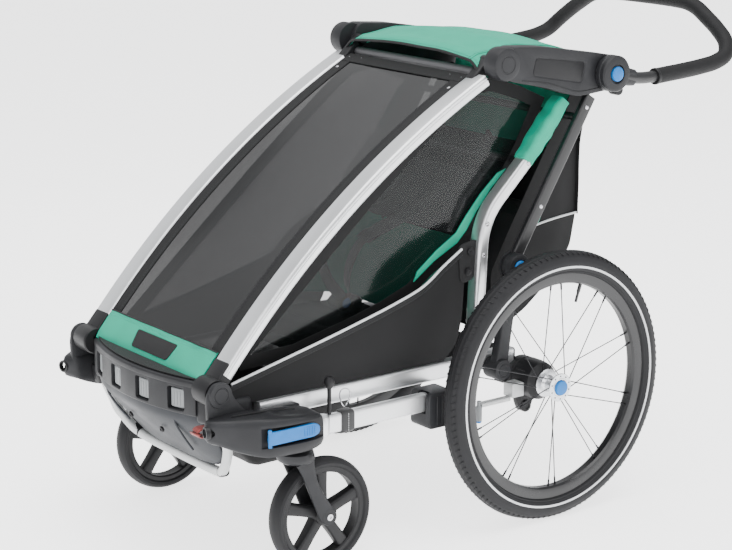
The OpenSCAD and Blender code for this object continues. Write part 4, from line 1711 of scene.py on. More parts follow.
        mouth = turned("mouth", (stem.x, stem.y, 0.228), [(0, 0), (0.0275, 0), (0.0275, 0.0105), (0, 0.0105)], 40,
            (0, 0, 1))
        socket = turned("socket", self.frame.at(0.2405, -0.712, 0.281),
            [(0, -0.004), (0.0082, -0.004), (0.0082, 0.034), (0, 0.034)], 32, (0.22, 1, 0))
        ledge = plate("ledge", self.frame.side_points([(-0.628, 0.2525), (-0.50, 0.2525), (-0.50, 0.2865),
            (-0.628, 0.2865)]), 0.2905, 0.32)
        body = minus(wing, [recess, mouth, socket, ledge])
        body = softened(body, 0.0016, 2, 0.75)
        lug = plate("lug", self.frame.side_points(rounded_corners([(-0.692, 0.296), (-0.694, 0.336), (-0.680, 0.358),
            (-0.656, 0.358), (-0.646, 0.340), (-0.634, 0.318), (-0.615, 0.300), (-0.615, 0.280), (-0.690, 0.278)],
            0.012, 4)), 0.2235, 0.2325)
        lug = softened(lug, 0.002, 2)
        pivot = self.frame.pivot("frame_fold")
        cap = turned("cap", (0.228, pivot.y, pivot.z), [(0, 0), (0.0212, 0), (0.0222, 0.0015), (0.0222, 0.0052),
            (0.0212, 0.0075), (0.0145, 0.0082), (0.0137, 0.0072), (0.0125, 0.0072), (0.0117, 0.0082), (0, 0.0086)],
            56)
        pin = turned("pin", (0.2, pivot.y, pivot.z), [(0, -0.020), (0.0059, -0.020), (0.0059, 0.026), (0, 0.026)], 24)
        block = plate("block", self.frame.side_points([(-0.60, 0.268), (-0.508, 0.268), (-0.508, 0.294),
            (-0.60, 0.294)]), 0.2155, 0.232)
        tray = softened(block, 0.003, 2)
        tag = side.tag
        made = joined(f"wing_shell_{tag}", [body, lug, tray])
        self.shop.keep(mirrored(made, side), PLASTIC_SOFT, Body.CHASSIS, (f"wing_{tag}",), 0.75)
        hinge = joined(f"front_hinge_cap_{tag}", [cap, pin])
        self.shop.keep(mirrored(hinge, side), PLASTIC_SOFT, Body.CHASSIS, (), 0.5)
        ring = turned(f"socket_ring_{tag}", self.frame.at(0.2405, -0.7005, 0.281), [(0.0081, -0.004),
            (0.0106, -0.004), (0.0112, -0.0025), (0.0112, 0.004), (0.0081, 0.004)], 36, (0.22, 1, 0))
        self.shop.keep(mirrored(ring, side), PLASTIC, Body.CHASSIS)
        seam = swept(f"wing_seam_{tag}", curve_through([self.frame.at(0.252, -0.660, 0.3045),
            self.frame.at(0.262, -0.60, 0.3050), self.frame.at(0.268, -0.545, 0.3005)], 6), circle(0.0011, 6))
        self.shop.keep(mirrored(seam, side), PLASTIC, Body.CHASSIS)
        self.make_lever(side)

    def make_lever(self, side: Side) -> None:
        """Blue lever that wraps the rear outer corner of the wing.

        Args:
            side: which side it is made for.
        """
        outline = rounded_corners([(-0.619, 0.258), (-0.619, 0.2805), (-0.530, 0.2815), (-0.5175, 0.276),
            (-0.5175, 0.262), (-0.530, 0.2575)], 0.006, 4)
        lever = softened(plate("lever", self.frame.side_points(outline), 0.2963, 0.3028), 0.0015, 3)
        grips = [swept("grip", [self.frame.at(0.3032, y, 0.262), self.frame.at(0.3032, y, 0.277)],
            circle(0.0011, 8, 0.7), (1, 0, 0)) for y in (-0.548, -0.543, -0.538, -0.533, -0.528)]
        pivot = turned("pivot", self.frame.at(0.2995, -0.616, 0.27),
            [(0, -0.0155), (0.0033, -0.0155), (0.0033, 0.0145), (0, 0.0145)], 20, (0, 0, 1))
        tag = side.tag
        made = joined(f"castor_lever_body_{tag}", [lever, pivot, *grips])
        self.shop.keep(mirrored(made, side), BLUE, f"castor_lever_{tag}", (f"release_lever_{tag}",), 0.6)

    def make_axle_end(self, side: Side) -> None:
        """Black axle housing, its clamp block and a stub axle.

        Args:
            side: which side it is made for.
        """
        at = self.frame.at
        housing = turned("housing", at(0, 0, 0.25), [(0.0149, 0.2045), (0.030, 0.2045), (0.0345, 0.208),
            (0.036, 0.212), (0.036, 0.228), (0.0345, 0.2292), (0.0345, 0.2328), (0.036, 0.234), (0.036, 0.262),
            (0.0342, 0.272), (0.0268, 0.279), (0.024, 0.2825), (0.0062, 0.2825), (0.0062, 0.3135), (0.0, 0.3135),
            (0.0, 0.2045)][:-1] + [(0.0, 0.2045)], 56)
        ribs = []
        for k in range(10):
            angle = math.tau * k / 10
            normal = Vector((0, math.cos(angle), math.sin(angle)))
            start = at(0.2355, 0, 0.25) + normal * 0.0355
            end = at(0.260, 0, 0.25) + normal * 0.0355
            ribs.append(swept("rib", [start, end], rounded_box(0.003, 0.0022, 0.0008, 1), normal))
        drop = plate("drop", self.frame.side_points(rounded_corners([(-0.026, 0.245), (-0.022, 0.205),
            (-0.014, 0.186), (0.010, 0.186), (0.018, 0.205), (0.024, 0.245)], 0.012, 5)), 0.2185, 0.2325)
        drop = softened(drop, 0.002, 2)
        eye = turned("eye", at(0.2255, -0.002, 0.193), [(0, -0.0105), (0.0105, -0.0105), (0.0115, -0.009),
            (0.0115, 0.009), (0.0105, 0.0105), (0.0062, 0.0108), (0.0052, 0.0092), (0, 0.0092)], 28)
        clamp = softened(plate("clamp", self.frame.side_points(rounded_corners([(-0.044, 0.2385), (-0.044, 0.2725),
            (-0.020, 0.2725), (0.030, 0.262), (0.030, 0.2385)], 0.005, 3)), 0.1895, 0.2135), 0.0025, 3)
        tag = side.tag
        made = joined(f"axle_housing_{tag}", [housing, *ribs, drop, eye, clamp])
        self.shop.keep(mirrored(made, side), PLASTIC, Body.CHASSIS, ("axle_housings",) if side is Side.LEFT else (),
            0.5)

    def make_post(self, side: Side) -> None:
        """Upright post that carries the rear fold hinge, with its blue release.

        Args:
            side: which side it is made for.
        """
        foot = self.frame.at(0, -0.073, 0.278)
        hinge = self.frame.pivot("strut_fold")
        up = unit(Vector((0, hinge.y - foot.y, hinge.z - foot.z)))
        flat = Vector((0, -up.z, up.y))
        outline = []
        for along, half in ((-0.004, 0.016), (0.02, 0.0145), (0.05, 0.0135), (0.1, 0.0132), (0.14, 0.0134),
                (0.160, 0.0142)):
            outline.append(foot + up * along + flat * half)
        left = [(p.y, p.z) for p in outline]
        right = [(2 * (foot.y + (Vector((0, p[0], p[1])) - foot).dot(up) * up.y) - p[0],
            2 * (foot.z + (Vector((0, p[0], p[1])) - foot).dot(up) * up.z) - p[1]) for p in left]
        post = softened(plate("post", left + right[::-1], 0.2265, 0.2455), 0.0035, 3)
        yoke = []
        top = foot + up * 0.150
        reach = (hinge - foot).dot(up)
        for x0, x1 in ((0.2262, 0.2288), (0.2372, 0.2458)):
            ring = [(hinge.y + 0.0243 * math.cos(a) * 1.0,
                hinge.z + 0.0243 * math.sin(a)) for a in (math.tau * k / 40 for k in range(40))]
            yoke.append(softened(plate("cheek", ring, x0, x1), 0.0009, 2))
        neck = [top + flat * 0.0142, top + up * (reach - 0.150 - 0.022) + flat * 0.0165,
            top + up * (reach - 0.150 - 0.022) - flat * 0.0165, top - flat * 0.0142]
        web = softened(plate("web", [(p.y, p.z) for p in neck], 0.2264, 0.2456), 0.002, 2)
        boss = turned("boss", (0.2458, hinge.y, hinge.z), [(0.0133, -0.002), (0.0243, -0.002), (0.0243, 0.0085),
            (0.0232, 0.0108), (0.0202, 0.0120), (0.0160, 0.0121), (0.0150, 0.0112), (0.0133, 0.0112)], 56)
        foot_disc = turned("foot", (0.2162, foot.y, foot.z), [(0, 0), (0.0198, 0), (0.0198, 0.0325), (0.0188, 0.0348),
            (0.0135, 0.0357), (0.0125, 0.0347), (0.0105, 0.0347), (0.0098, 0.0357), (0, 0.0358)], 48)
        tag = side.tag
        made = joined(f"post_{tag}", [post, web, *yoke, boss, foot_disc])
        self.shop.keep(mirrored(made, side), PLASTIC_SOFT, Body.CHASSIS, ("rear_posts",) if side is Side.LEFT else (),
            0.6)
        low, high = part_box(f"fold_button_{tag}")
        face = max(abs(low.x), abs(high.x))
        button = turned(f"fold_release_{tag}_button", (face, hinge.y, hinge.z), [(0, -0.0078), (0.0128, -0.0078),
            (0.0128, -0.0025), (0.0118, -0.0009), (0.0090, -0.0001), (0.0070, -0.0004), (0, -0.0012)], 44)
        self.shop.keep(mirrored(button, side), BLUE, f"fold_release_{tag}", (f"fold_button_{tag}",))

    def make_receiver(self) -> None:
        """Silver block for the towing arm, its bar and the lock pin."""
        at = self.frame.at
        block = softened(plate("block", self.frame.side_points([(-0.062, 0.226), (-0.0335, 0.226), (-0.0335, 0.252),
            (-0.062, 0.252)]), 0.238, 0.264), 0.0018, 3)
        bore = turned("bore", at(0.251, -0.049, 0.24), [(0, -0.03), (0.005, -0.03), (0.005, 0.03), (0, 0.03)], 32,
            (0, 0, 1))
        block = minus(block, [bore])
        bar = swept("bar", [at(0.251, -0.128, 0.223), at(0.251, -0.095, 0.223), at(0.251, -0.061, 0.223)],
            rounded_box(0.014, 0.008, 0.002, 2))
        self.shop.keep(joined("receiver_block", [block, bar]), GUARD_SILVER, Body.CHASSIS, ("hitch_receiver",), 0.5)
        pin = turned("lock_pin", at(0.251, -0.130, 0.19), [(0, 0.002), (0.0052, 0.002), (0.0058, 0.004),
            (0.0058, 0.030), (0.0042, 0.032), (0.0042, 0.0405), (0, 0.0415)], 28, (0, 0, 1))
        self.shop.keep(pin, PALE_INSERT, Body.CHASSIS)
        tip = turned("lock_pin_tip", at(0.251, -0.130, 0.19), [(0, -0.0005), (0.0045, 0.0), (0.0057, 0.0025),
            (0.0057, 0.0105), (0, 0.0105)], 28, (0, 0, 1))
        self.shop.keep(tip, BLUE, Body.CHASSIS)


# ---------------------------------------------------------------- front frame and shoulders


@dataclass
class FrontFrame:
    """Bowed silver tubes, hinge knuckles and the cross tube at the top."""

    frame: TrailerFrame
    bow: Bow = field(default_factory=Bow)

    def build(self) -> None:
        """Makes the rigid part of the front frame."""
        shop = Assembly(self.frame)
        depth, x_in, x_out = 0.022, 0.178, 0.222
        middle = (x_in + x_out) / 2
        half = (x_out - x_in) / 2
        radius = 0.006
        section = []
        for cx, cy, start in ((1, 1, 0.0), (-1, 1, 0.25), (-1, -1, 0.5), (1, -1, 0.75)):
            for k in range(5):
                angle = math.tau * (start + 0.25 * k / 4)
                section.append((cx * (half - radius) + radius * math.cos(angle),
                    cy * (depth / 2 - radius) + radius * math.sin(angle)))
            if (cx, cy) == (1, -1):
                for lift, cut in ((0.0018, 0.0), (0.0024, 0.0014), (0.0040, 0.0014), (0.0046, 0.0)):
                    section.append((half - cut, lift))
        for side in Side:
            tag = side.tag
            path = [self.frame.at(*self.bow.point(self.bow.length * k / 48, middle, -depth / 2)) for k in range(49)]
            path = [Vector(p) for p in path]
            tube = swept(f"bow_tube_{tag}", path, section, (0, 1, -1))
            tube = self.facing(path, section, f"bow_tube_{tag}", tube)
            shop.keep(mirrored(tube, side), SILVER, Body.FRONT, (f"front_tube_{tag}",), 0.6)
            self.make_knuckles(shop, side)
        at = self.frame.at
        cross = turned("top_cross_bar", at(0, -0.082, 0.812),
            [(0, -0.1765), (0.009, -0.1765), (0.009, 0.1765), (0, 0.1765)], 32)
        shop.keep(cross, GREY_TUBE, Body.FRONT, ("top_cross_tube",))
        for side in Side:
            tag, k = side.tag, side.value
            corner = [(0.176, 0.0), (0.176, 0.062), (0.170, 0.066), (0.160, 0.040), (0.140, 0.016), (0.112, 0.012),
                (0.108, 0.0)]
            rows = []
            for lift in (-0.0065, -0.0045):
                rows.append([at(k * x, *self.bow.point(self.bow.length - 0.004 - s, 0, lift)[1:]) for x, s in corner])
            count = len(corner)
            faces = [tuple(range(count)), tuple(range(2 * count - 1, count - 1, -1))]
            faces += [(i, i + count, (i + 1) % count + count, (i + 1) % count) for i in range(count)]
            made = flat_map(outwards(from_faces(f"corner_plate_{tag}", [p for row in rows for p in row], faces)), 0,
                1)
            shop.keep(made, GREY_TUBE, Body.FRONT)
            rivets = []
            for x, s in ((0.1665, 0.042), (0.132, 0.0065), (0.1665, 0.0095)):
                place = at(k * x, *self.bow.point(self.bow.length - 0.004 - s, 0, -0.0044)[1:])
                normal = Vector(self.bow.point(0.5, 0, 1.0)) - Vector(self.bow.point(0.5, 0, 0.0))
                rivets.append(turned("rivet", place, [(0, 0), (0.0042, 0), (0.0036, 0.0014), (0.0018, 0.0022),
                    (0, 0.0024)], 20, normal))
            shop.keep(joined(f"corner_rivets_{tag}", rivets), STEEL, Body.FRONT)

    def facing(self, path: Points, section: Points, name: str, made: bpy.types.Object) -> bpy.types.Object:
        """Replaces a swept tube by one whose section stands square to the arc and sideways.

        Args:
            path: the points of its route.
            section: the section's points.
            name: what the new piece is called.
            made: the tube that is replaced.

        Returns:
            The new tube.
        """
        bpy.data.objects.remove(made)
        rows = []
        for i, point in enumerate(path):
            ahead = unit(path[min(i + 1, len(path) - 1)] - path[max(i - 1, 0)])
            rise = Vector((0, -ahead.z, ahead.y))
            rise = rise if rise.z > 0 or rise.y < 0 else -rise
            rows.append([point + Vector((a, 0, 0)) + rise * b for a, b in section])
        return outwards(surface(name, rows, closed=True, capped=True))

    def make_knuckles(self, shop: Assembly, side: Side) -> None:
        """End fittings at the front hinge and at the shoulder.

        Args:
            shop: the assembly that keeps the pieces.
            side: which side it is made for.
        """
        tag = side.tag
        front, shoulder = self.frame.pivot("frame_fold"), self.frame.pivot("shoulder_fold")
        low = self.frame.at(*self.bow.point(0.018, 0, -0.011))
        high = self.frame.at(*self.bow.point(self.bow.length - 0.014, 0, -0.011))
        parts = []
        for start, end, x0, x1, width in ((front, low, 0.1785, 0.2205, 0.0245),
                (high, shoulder, 0.1785, 0.2018, 0.0215)):
            along = unit(Vector((0, end.y - start.y, end.z - start.z)))
            flat = Vector((0, -along.z, along.y)) * (width / 2)
            corners = [start - along * 0.004 + flat, end + along * 0.004 + flat, end + along * 0.004 - flat,
                start - along * 0.004 - flat]
            parts.append(softened(plate("link", [(p.y, p.z) for p in corners], x0, x1), 0.004, 3))
        parts.append(turned("barrel", (0.2, front.y, front.z), [(0.0062, -0.0215), (0.022, -0.0215), (0.0238, -0.019),
            (0.0238, 0.0185), (0.0225, 0.0215), (0.0062, 0.0215)], 48))
        parts.append(turned("eye", (0.19, shoulder.y, shoulder.z), [(0.0062, -0.0115), (0.0105, -0.0115),
            (0.0112, -0.010), (0.0112, 0.0105), (0.0105, 0.0118), (0.0062, 0.0118)], 40))
        made = joined(f"knuckles_{tag}", parts)
        shop.keep(mirrored(made, side), PLASTIC, Body.FRONT, ("front_knuckles",) if side is Side.LEFT else (), 0.6)


@dataclass
class Shoulders:
    """Moulded shoulders, the rear cross tube and the roof's rear rail."""

    frame: TrailerFrame

    def build(self) -> None:
        """Makes both shoulders."""
        shop = Assembly(self.frame)
        outline = rounded_corners([(-0.0835, 0.8125), (-0.059, 0.8005), (0.024, 0.7825), (0.097, 0.7605),
            (0.133, 0.7625), (0.178, 0.7665), (0.2138, 0.7645), (0.2375, 0.786), (0.2280, 0.8018), (0.191, 0.8278),
            (0.131, 0.8378), (0.022, 0.8558), (-0.060, 0.8618)], 0.016, 6)
        pivot = self.frame.pivot("shoulder_fold")
        bar = self.frame.pivot("handlebar_tilt")
        for side in Side:
            tag = side.tag
            body = plate("body", self.frame.side_points(outline), 0.2045, 0.2438)
            inside = plate("inside", self.frame.side_points(rounded_corners([
                (0.050, 0.70), (0.193, 0.70), (0.193, 0.7863), (0.050, 0.7863)], 0.004, 3)), 0.2228, 0.2412)
            patch = plate("patch", self.frame.side_points(rounded_corners([(-0.012, 0.8065), (0.108, 0.7835),
                (0.118, 0.8235), (-0.004, 0.8405)], 0.008, 5)), 0.2428, 0.25)
            body = softened(minus(body, [inside, patch]), 0.0034, 3, 0.5)
            cap = turned("cap", (0.2438, pivot.y, pivot.z), [(0, -0.03), (0.0292, -0.03), (0.0298, -0.028),
                (0.0298, -0.001), (0.0285, 0.0018), (0.0245, 0.0030), (0.0168, 0.0032), (0.0160, 0.0022),
                (0.0142, 0.0022), (0.0134, 0.0032), (0, 0.0034)], 64)
            hub = turned("hub", (0.2438, bar.y, bar.z), [(0, -0.02), (0.0235, -0.02), (0.0235, -0.004), (0.0225, 0.0),
                (0.0196, 0.0022), (0, 0.0022)], 48)
            pin = turned("pin", (0.19, pivot.y, pivot.z), [(0, -0.013), (0.0059, -0.013), (0.0059, 0.02), (0, 0.02)],
                24)
            made = joined(f"shoulder_body_{tag}", [body, cap, hub, pin])
            shop.keep(mirrored(made, side), PLASTIC_SOFT, Body.SHOULDERS, (f"shoulder_{tag}",), 0.55)
            inlay = softened(plate(f"shoulder_inlay_{tag}", self.frame.side_points(rounded_corners([(-0.0095, 0.8085),
                (0.1062, 0.7863), (0.1152, 0.8215), (-0.0020, 0.8380)], 0.007, 5)), 0.2415, 0.2434), 0.0006, 2)
            shop.keep(mirrored(inlay, side), PLASTIC, Body.SHOULDERS)
            line = swept(f"shoulder_line_{tag}",
                [(0.2441,) + p for p in self.frame.side_points([(v.x, v.y) for v in curve_through([(-0.034, 0.8005,
                0), (0.03, 0.790, 0), (0.098, 0.7695, 0), (0.135, 0.7705, 0), (0.176, 0.774, 0)], 6)])],
                circle(0.0009, 6), (1, 0, 0))
            shop.keep(mirrored(line, side), PLASTIC, Body.SHOULDERS)
        tube = turned("rear_cross_bar", self.frame.at(0, 0.196, 0.802),
            [(0, -0.2045), (0.0098, -0.2045), (0.0098, 0.2045), (0, 0.2045)], 32)
        shop.keep(tube, BLACK_TUBE, Body.SHOULDERS, ("rear_cross_tube",))


@dataclass
class RearStruts:
    """Rear struts from the fold hinge up to the shoulders."""

    frame: TrailerFrame

    def build(self) -> None:
        """Makes both struts and the bar between them."""
        shop = Assembly(self.frame)
        hinge = self.frame.pivot("strut_fold")
        top = self.frame.at(0, 0.140, 0.760)
        up = unit(Vector((0, top.y - hinge.y, top.z - hinge.z)))
        for side in Side:
            tag, k = side.tag, side.value
            start = Vector((0, hinge.y, hinge.z)) + up * 0.023
            end = Vector((0, top.y, top.z)) - up * 0.004
            tube = swept("tube", [Vector((0.2327, 0, 0)) + start.lerp(end, t / 6) for t in range(7)],
                rounded_box(0.0125, 0.0238, 0.0035, 4), (0, 1, 0.2))
            eye = turned("eye", (0.233, hinge.y, hinge.z), [(0.0062, -0.0034), (0.0212, -0.0034), (0.0218, -0.0025),
                (0.0218, 0.0025), (0.0212, 0.0034), (0.0062, 0.0034)], 48)
            neck = swept("neck",
                [Vector((0.233, 0, 0)) + Vector((0, hinge.y, hinge.z)) + up * s for s in (0.012, 0.026, 0.034)],
                rounded_box(0.0070, 0.0235, 0.002, 2), (0, 1, 0.2))
            made = joined(f"strut_{tag}", [tube, eye, neck])
            shop.keep(mirrored(made, side), BLACK_TUBE, Body.STRUTS, (f"rear_strut_{tag}",), 0.6)
            shop.heads(f"strut_rivets_{tag}", [Vector((0.2394 * k, 0, 0)) + start.lerp(end, t) for t in (0.30, 0.93)],
                0.0042, STEEL, Body.STRUTS)
        middle = Vector((0, hinge.y, hinge.z)) + up * 0.298
        bar = turned("strut_cross_bar", middle, [(0, -0.2265), (0.0069, -0.2265), (0.0069, 0.2265), (0, 0.2265)], 28)
        shop.keep(bar, BLACK_TUBE, Body.STRUTS, ("strut_cross_tube",))


@dataclass
class SeatFrame:
    """Bent seat tubes with the bar at their top and the fabric sleeve."""

    frame: TrailerFrame

    def build(self) -> None:
        """Makes both seat tubes, the top bar and the sleeves."""
        shop = Assembly(self.frame)
        at = self.frame.at
        for side in Side:
            tag, k = side.tag, side.value
            path = rounded_corners([at(0.2055, -0.1048, 0.342), at(0.2055, -0.094, 0.552), at(0.2055, 0.014, 0.655)],
                0.05, 10, closed=False)
            tube = swept("tube", path, rounded_box(0.030, 0.0235, 0.006, 4), (0, -1, 0))
            foot = softened(plate("foot", self.frame.side_points(rounded_corners([(-0.119, 0.283), (-0.115, 0.352),
                (-0.095, 0.352), (-0.097, 0.283), (-0.108, 0.2775)], 0.009, 4)), 0.2156, 0.2207), 0.001, 2)
            made = joined(f"seat_tube_{tag}", [tube, foot])
            shop.keep(mirrored(made, side), SILVER_UP, Body.SEAT, ("seat_tubes",) if side is Side.LEFT else (), 0.6)
            shop.heads(f"seat_rivets_{tag}", [at(0.2208 * k, y, z) for y,
                z in ((-0.0975, 0.490), (-0.0905, 0.5460), (0.0045, 0.6455))], 0.0046, STEEL, Body.SEAT)
            rows = []
            start, end = at(0.2055, 0.004, 0.647), at(0.207, 0.090, 0.752)
            ahead = unit(end - start)
            flat = Vector((0, -ahead.z, ahead.y))
            for i in range(25):
                t = i / 24
                size = 1.0 + 0.16 * math.sin(math.pi * t) + 0.02 * math.sin(t * 31)
                wave = 0.0012 * math.sin(t * 23)
                rows.append([start.lerp(end, t) + Vector((a * size + wave * 0.4, 0, 0)) + flat * (b * size + wave)
                    for a, b in rounded_box(0.033, 0.027, 0.008, 4)])
            sleeve = outwards(surface(f"seat_sleeve_{tag}", rows, closed=True, capped=True))
            made = shop.keep(mirrored(sleeve, side), GREEN, Body.SEAT, (), 0.9)
            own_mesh(made)
        bar = turned("seat_bar", at(0, 0.004, 0.646),
            [(0, -0.1905), (0.0079, -0.1905), (0.0079, 0.1905), (0, 0.1905)], 28)
        shop.keep(bar, BLACK_TUBE, Body.SEAT, ("seat_top_bar",))


# ---------------------------------------------------------------- cloth work


def inset(outline: Points, distance: float) -> list[Vector]:
    """Moves a side-view outline inwards by a distance.

    Args:
        outline: points of the side-view outline, as (y, z).
        distance: how far the outline moves inwards.

    Returns:
        The moved points.
    """
    points = [Vector((p[0], p[1])) for p in outline]
    count = len(points)
    area = sum(points[i].x * points[(i + 1) % count].y - points[(i + 1) % count].x * points[i].y
        for i in range(count))
    turn = 1.0 if area > 0 else -1.0
    made = []
    for i, point in enumerate(points):
        before = unit(point - points[i - 1])
        after = unit(points[(i + 1) % count] - point)
        normal = Vector((-before.y - after.y, before.x + after.x)) * turn
        normal = normal.normalized() if normal.length > 1e-6 else Vector((0, 0))
        cosine = max(0.45, normal.dot(Vector((-before.y, before.x)) * turn))
        made.append(point + normal * (distance / cosine))
    return made


def resampled(outline: Points, step: float, closed: bool = True) -> list[Vector]:
    """Cuts an outline's edges into pieces no longer than a step.

    Args:
        outline: the outline's points.
        step: longest piece of an edge.
        closed: whether the last point joins the first.

    Returns:
        The denser points.
    """
    points = [Vector(tuple(p)) for p in outline]
    made: list[Vector] = []
    for i in range(len(points) if closed else len(points) - 1):
        start, end = points[i], points[(i + 1) % len(points)]
        count = max(1, math.ceil((end - start).length / step))
        made += [start.lerp(end, k / count) for k in range(count)]
    if not closed:
        made.append(points[-1])
    return made


def filled(name: str, outline: Points, x: float, step: float = 0.012) -> bpy.types.Object:
    """An even mesh of triangles that fills a side-view outline at one sideways place.

    Args:
        name: what the new piece is called.
        outline: points of the side-view outline, as (y, z).
        x: sideways place.
        step: longest piece of an edge.

    Returns:
        The flat piece.
    """
    rim = resampled([(p[0], p[1]) for p in outline], step)
    low = Vector((min(p.x for p in rim), min(p.y for p in rim)))
    high = Vector((max(p.x for p in rim), max(p.y for p in rim)))
    count = len(rim)
    inner = []
    for i in range(int((high.x - low.x) / step) + 1):
        for k in range(int((high.y - low.y) / step) + 1):
            point = low + Vector((i + 0.5 * (k % 2), k * 0.88)) * step
            if all((point - r).length > step * 0.62 for r in rim) and inside(point, rim):
                inner.append(point)
    points, _, faces, *_ = geometry.delaunay_2d_cdt(rim + inner, [], [tuple(range(count))], 1, 1e-6)
    made = from_faces(name, [(x, p.x, p.y) for p in points], faces)
    return flat_map(made)


def inside(point: Vector, outline: Sequence[Vector]) -> bool:
    """Whether a point is inside an outline.

    Args:
        point: the place that is looked at.
        outline: points of the side-view outline, as (y, z).

    Returns:
        True where the point is inside.
    """
    found = False
    for i, a in enumerate(outline):
        b = outline[i - 1]
        if (a.y > point.y) != (b.y > point.y) and point.x < (b.x - a.x) * (point.y - a.y) / (b.y - a.y) + a.x:
            found = not found
    return found


def cloth_area(made: bpy.types.Object) -> float:
    """The area of one face of a thickened sheet."""
    return sum(face.area for face in made.data.polygons) / 2


def rim_share(outline: Sequence[Vector], point: Vector, reach: float) -> float:
    """0 at an outline's rim, rising to 1 at a reach inwards.

    Args:
        outline: points of the side-view outline, as (y, z).
        point: the place that is looked at.
        reach: how far inwards the rim counts.

    Returns:
        The share, from 0 to 1.
    """
    best = reach
    for i, a in enumerate(outline):
        b = outline[i - 1]
        along = max(0.0, min(1.0, (point - a).dot(b - a) / max((b - a).length_squared, 1e-12)))
        best = min(best, (point - a.lerp(b, along)).length)
    return best / reach


def clear_inset(outline: Points, width: float) -> list[Vector]:
    """The inset of a side-view outline without the points that sharp corners throw across."""
    rim = resampled(outline, 0.012)
    return [p for p in inset(rim, width) if inside(p, rim) and rim_share(rim, p, width) > 0.93]


def border(name: str, outline: Points, x: float, width: float) -> bpy.types.Object:
    """A band of cloth along the inside of a side-view outline.

    Args:
        name: what the new piece is called.
        outline: points of the side-view outline, as (y, z).
        x: sideways place of the cloth.
        width: size across.

    Returns:
        The band.
    """
    outer = [(p.x, p.y) for p in resampled(outline, 0.012)]
    inner = [(p.x, p.y) for p in clear_inset(outline, width)]
    return minus(plate(name, outer, x, x + 0.0016), [plate("hole", inner, x - 0.004, x + 0.006)])


def billowed(made: bpy.types.Object, outline: Points, depth: float, reach: float, slack: float = 0.0,
        seed: float = 1.0) -> bpy.types.Object:
    """Swells a filled side panel outwards between its rims, with slack folds.

    Args:
        made: the piece that is changed.
        outline: points of the side-view outline, as (y, z).
        depth: how far the surface moves.
        reach: how far inwards the rim counts.
        slack: how deep the slack folds are.
        seed: picks the noise, so that it stays the same.

    Returns:
        The same piece.
    """
    rim = [Vector((p[0], p[1])) for p in outline]
    for vertex in made.data.vertices:
        share = rim_share(rim, Vector((vertex.co.y, vertex.co.z)), reach)
        soft = share * share * (3 - 2 * share)
        wave = noise.noise(vertex.co * 9.0 + Vector((seed, 0, seed))) + 0.5 * noise.noise(vertex.co * 21.0)
        vertex.co.x += depth * soft + slack * wave * share
    return made


def inflated(made: bpy.types.Object, cap: float, pressure: float = 4.0, frames: int = 18) -> bpy.types.Object:
    """Blows a closed piece up like a stuffed cushion.

    Args:
        made: a closed mesh, a little smaller than the stuffed piece.
        cap: how far a point may move, in metres.
        pressure: the air pressure inside.
        frames: the number of simulated frames.

    Returns:
        The same object with the stuffed mesh.
    """
    modified(made, "REMESH", mode="VOXEL", voxel_size=0.0055)
    rest = [v.co.copy() for v in made.data.vertices]
    cloth = made.modifiers.new("stuffing", "CLOTH")
    cloth.settings.use_pressure = True
    cloth.settings.uniform_pressure_force = pressure
    cloth.settings.quality = 4
    cloth.settings.effector_weights.gravity = 0.0
    cloth.settings.tension_stiffness = 12.0
    cloth.settings.bending_stiffness = 1.5
    scene = bpy.context.scene
    for frame in range(1, frames + 1):
        scene.frame_set(frame)
    applied(made)
    scene.frame_set(1)
    for vertex, start in zip(made.data.vertices, rest):
        move = vertex.co - start
        if move.length > cap:
            vertex.co = start + move.normalized() * cap
    modified(made, "SMOOTH", factor=0.5, iterations=4)
    modified(made, "SUBSURF", levels=1, render_levels=1)
    return made


def channelled(made: bpy.types.Object, lines: Sequence[tuple[Sequence[float], Sequence[float]]], depth: float,
        width: float) -> bpy.types.Object:
    """Presses sewn channels into a padded piece; each line is a plane's point and its normal.

    Args:
        made: the piece that is changed.
        lines: the channels, each as a point and a normal.
        depth: how far the surface moves.
        width: how wide a channel is.

    Returns:
        The same piece.
    """
    normals = [v.normal.copy() for v in made.data.vertices]
    planes = [(Vector(point), Vector(normal).normalized()) for point, normal in lines]
    for vertex, out in zip(made.data.vertices, normals):
        press = max(math.exp(-(((vertex.co - point).dot(normal) / width) ** 2)) for point, normal in planes)
        vertex.co -= out * (depth * press)
    return made


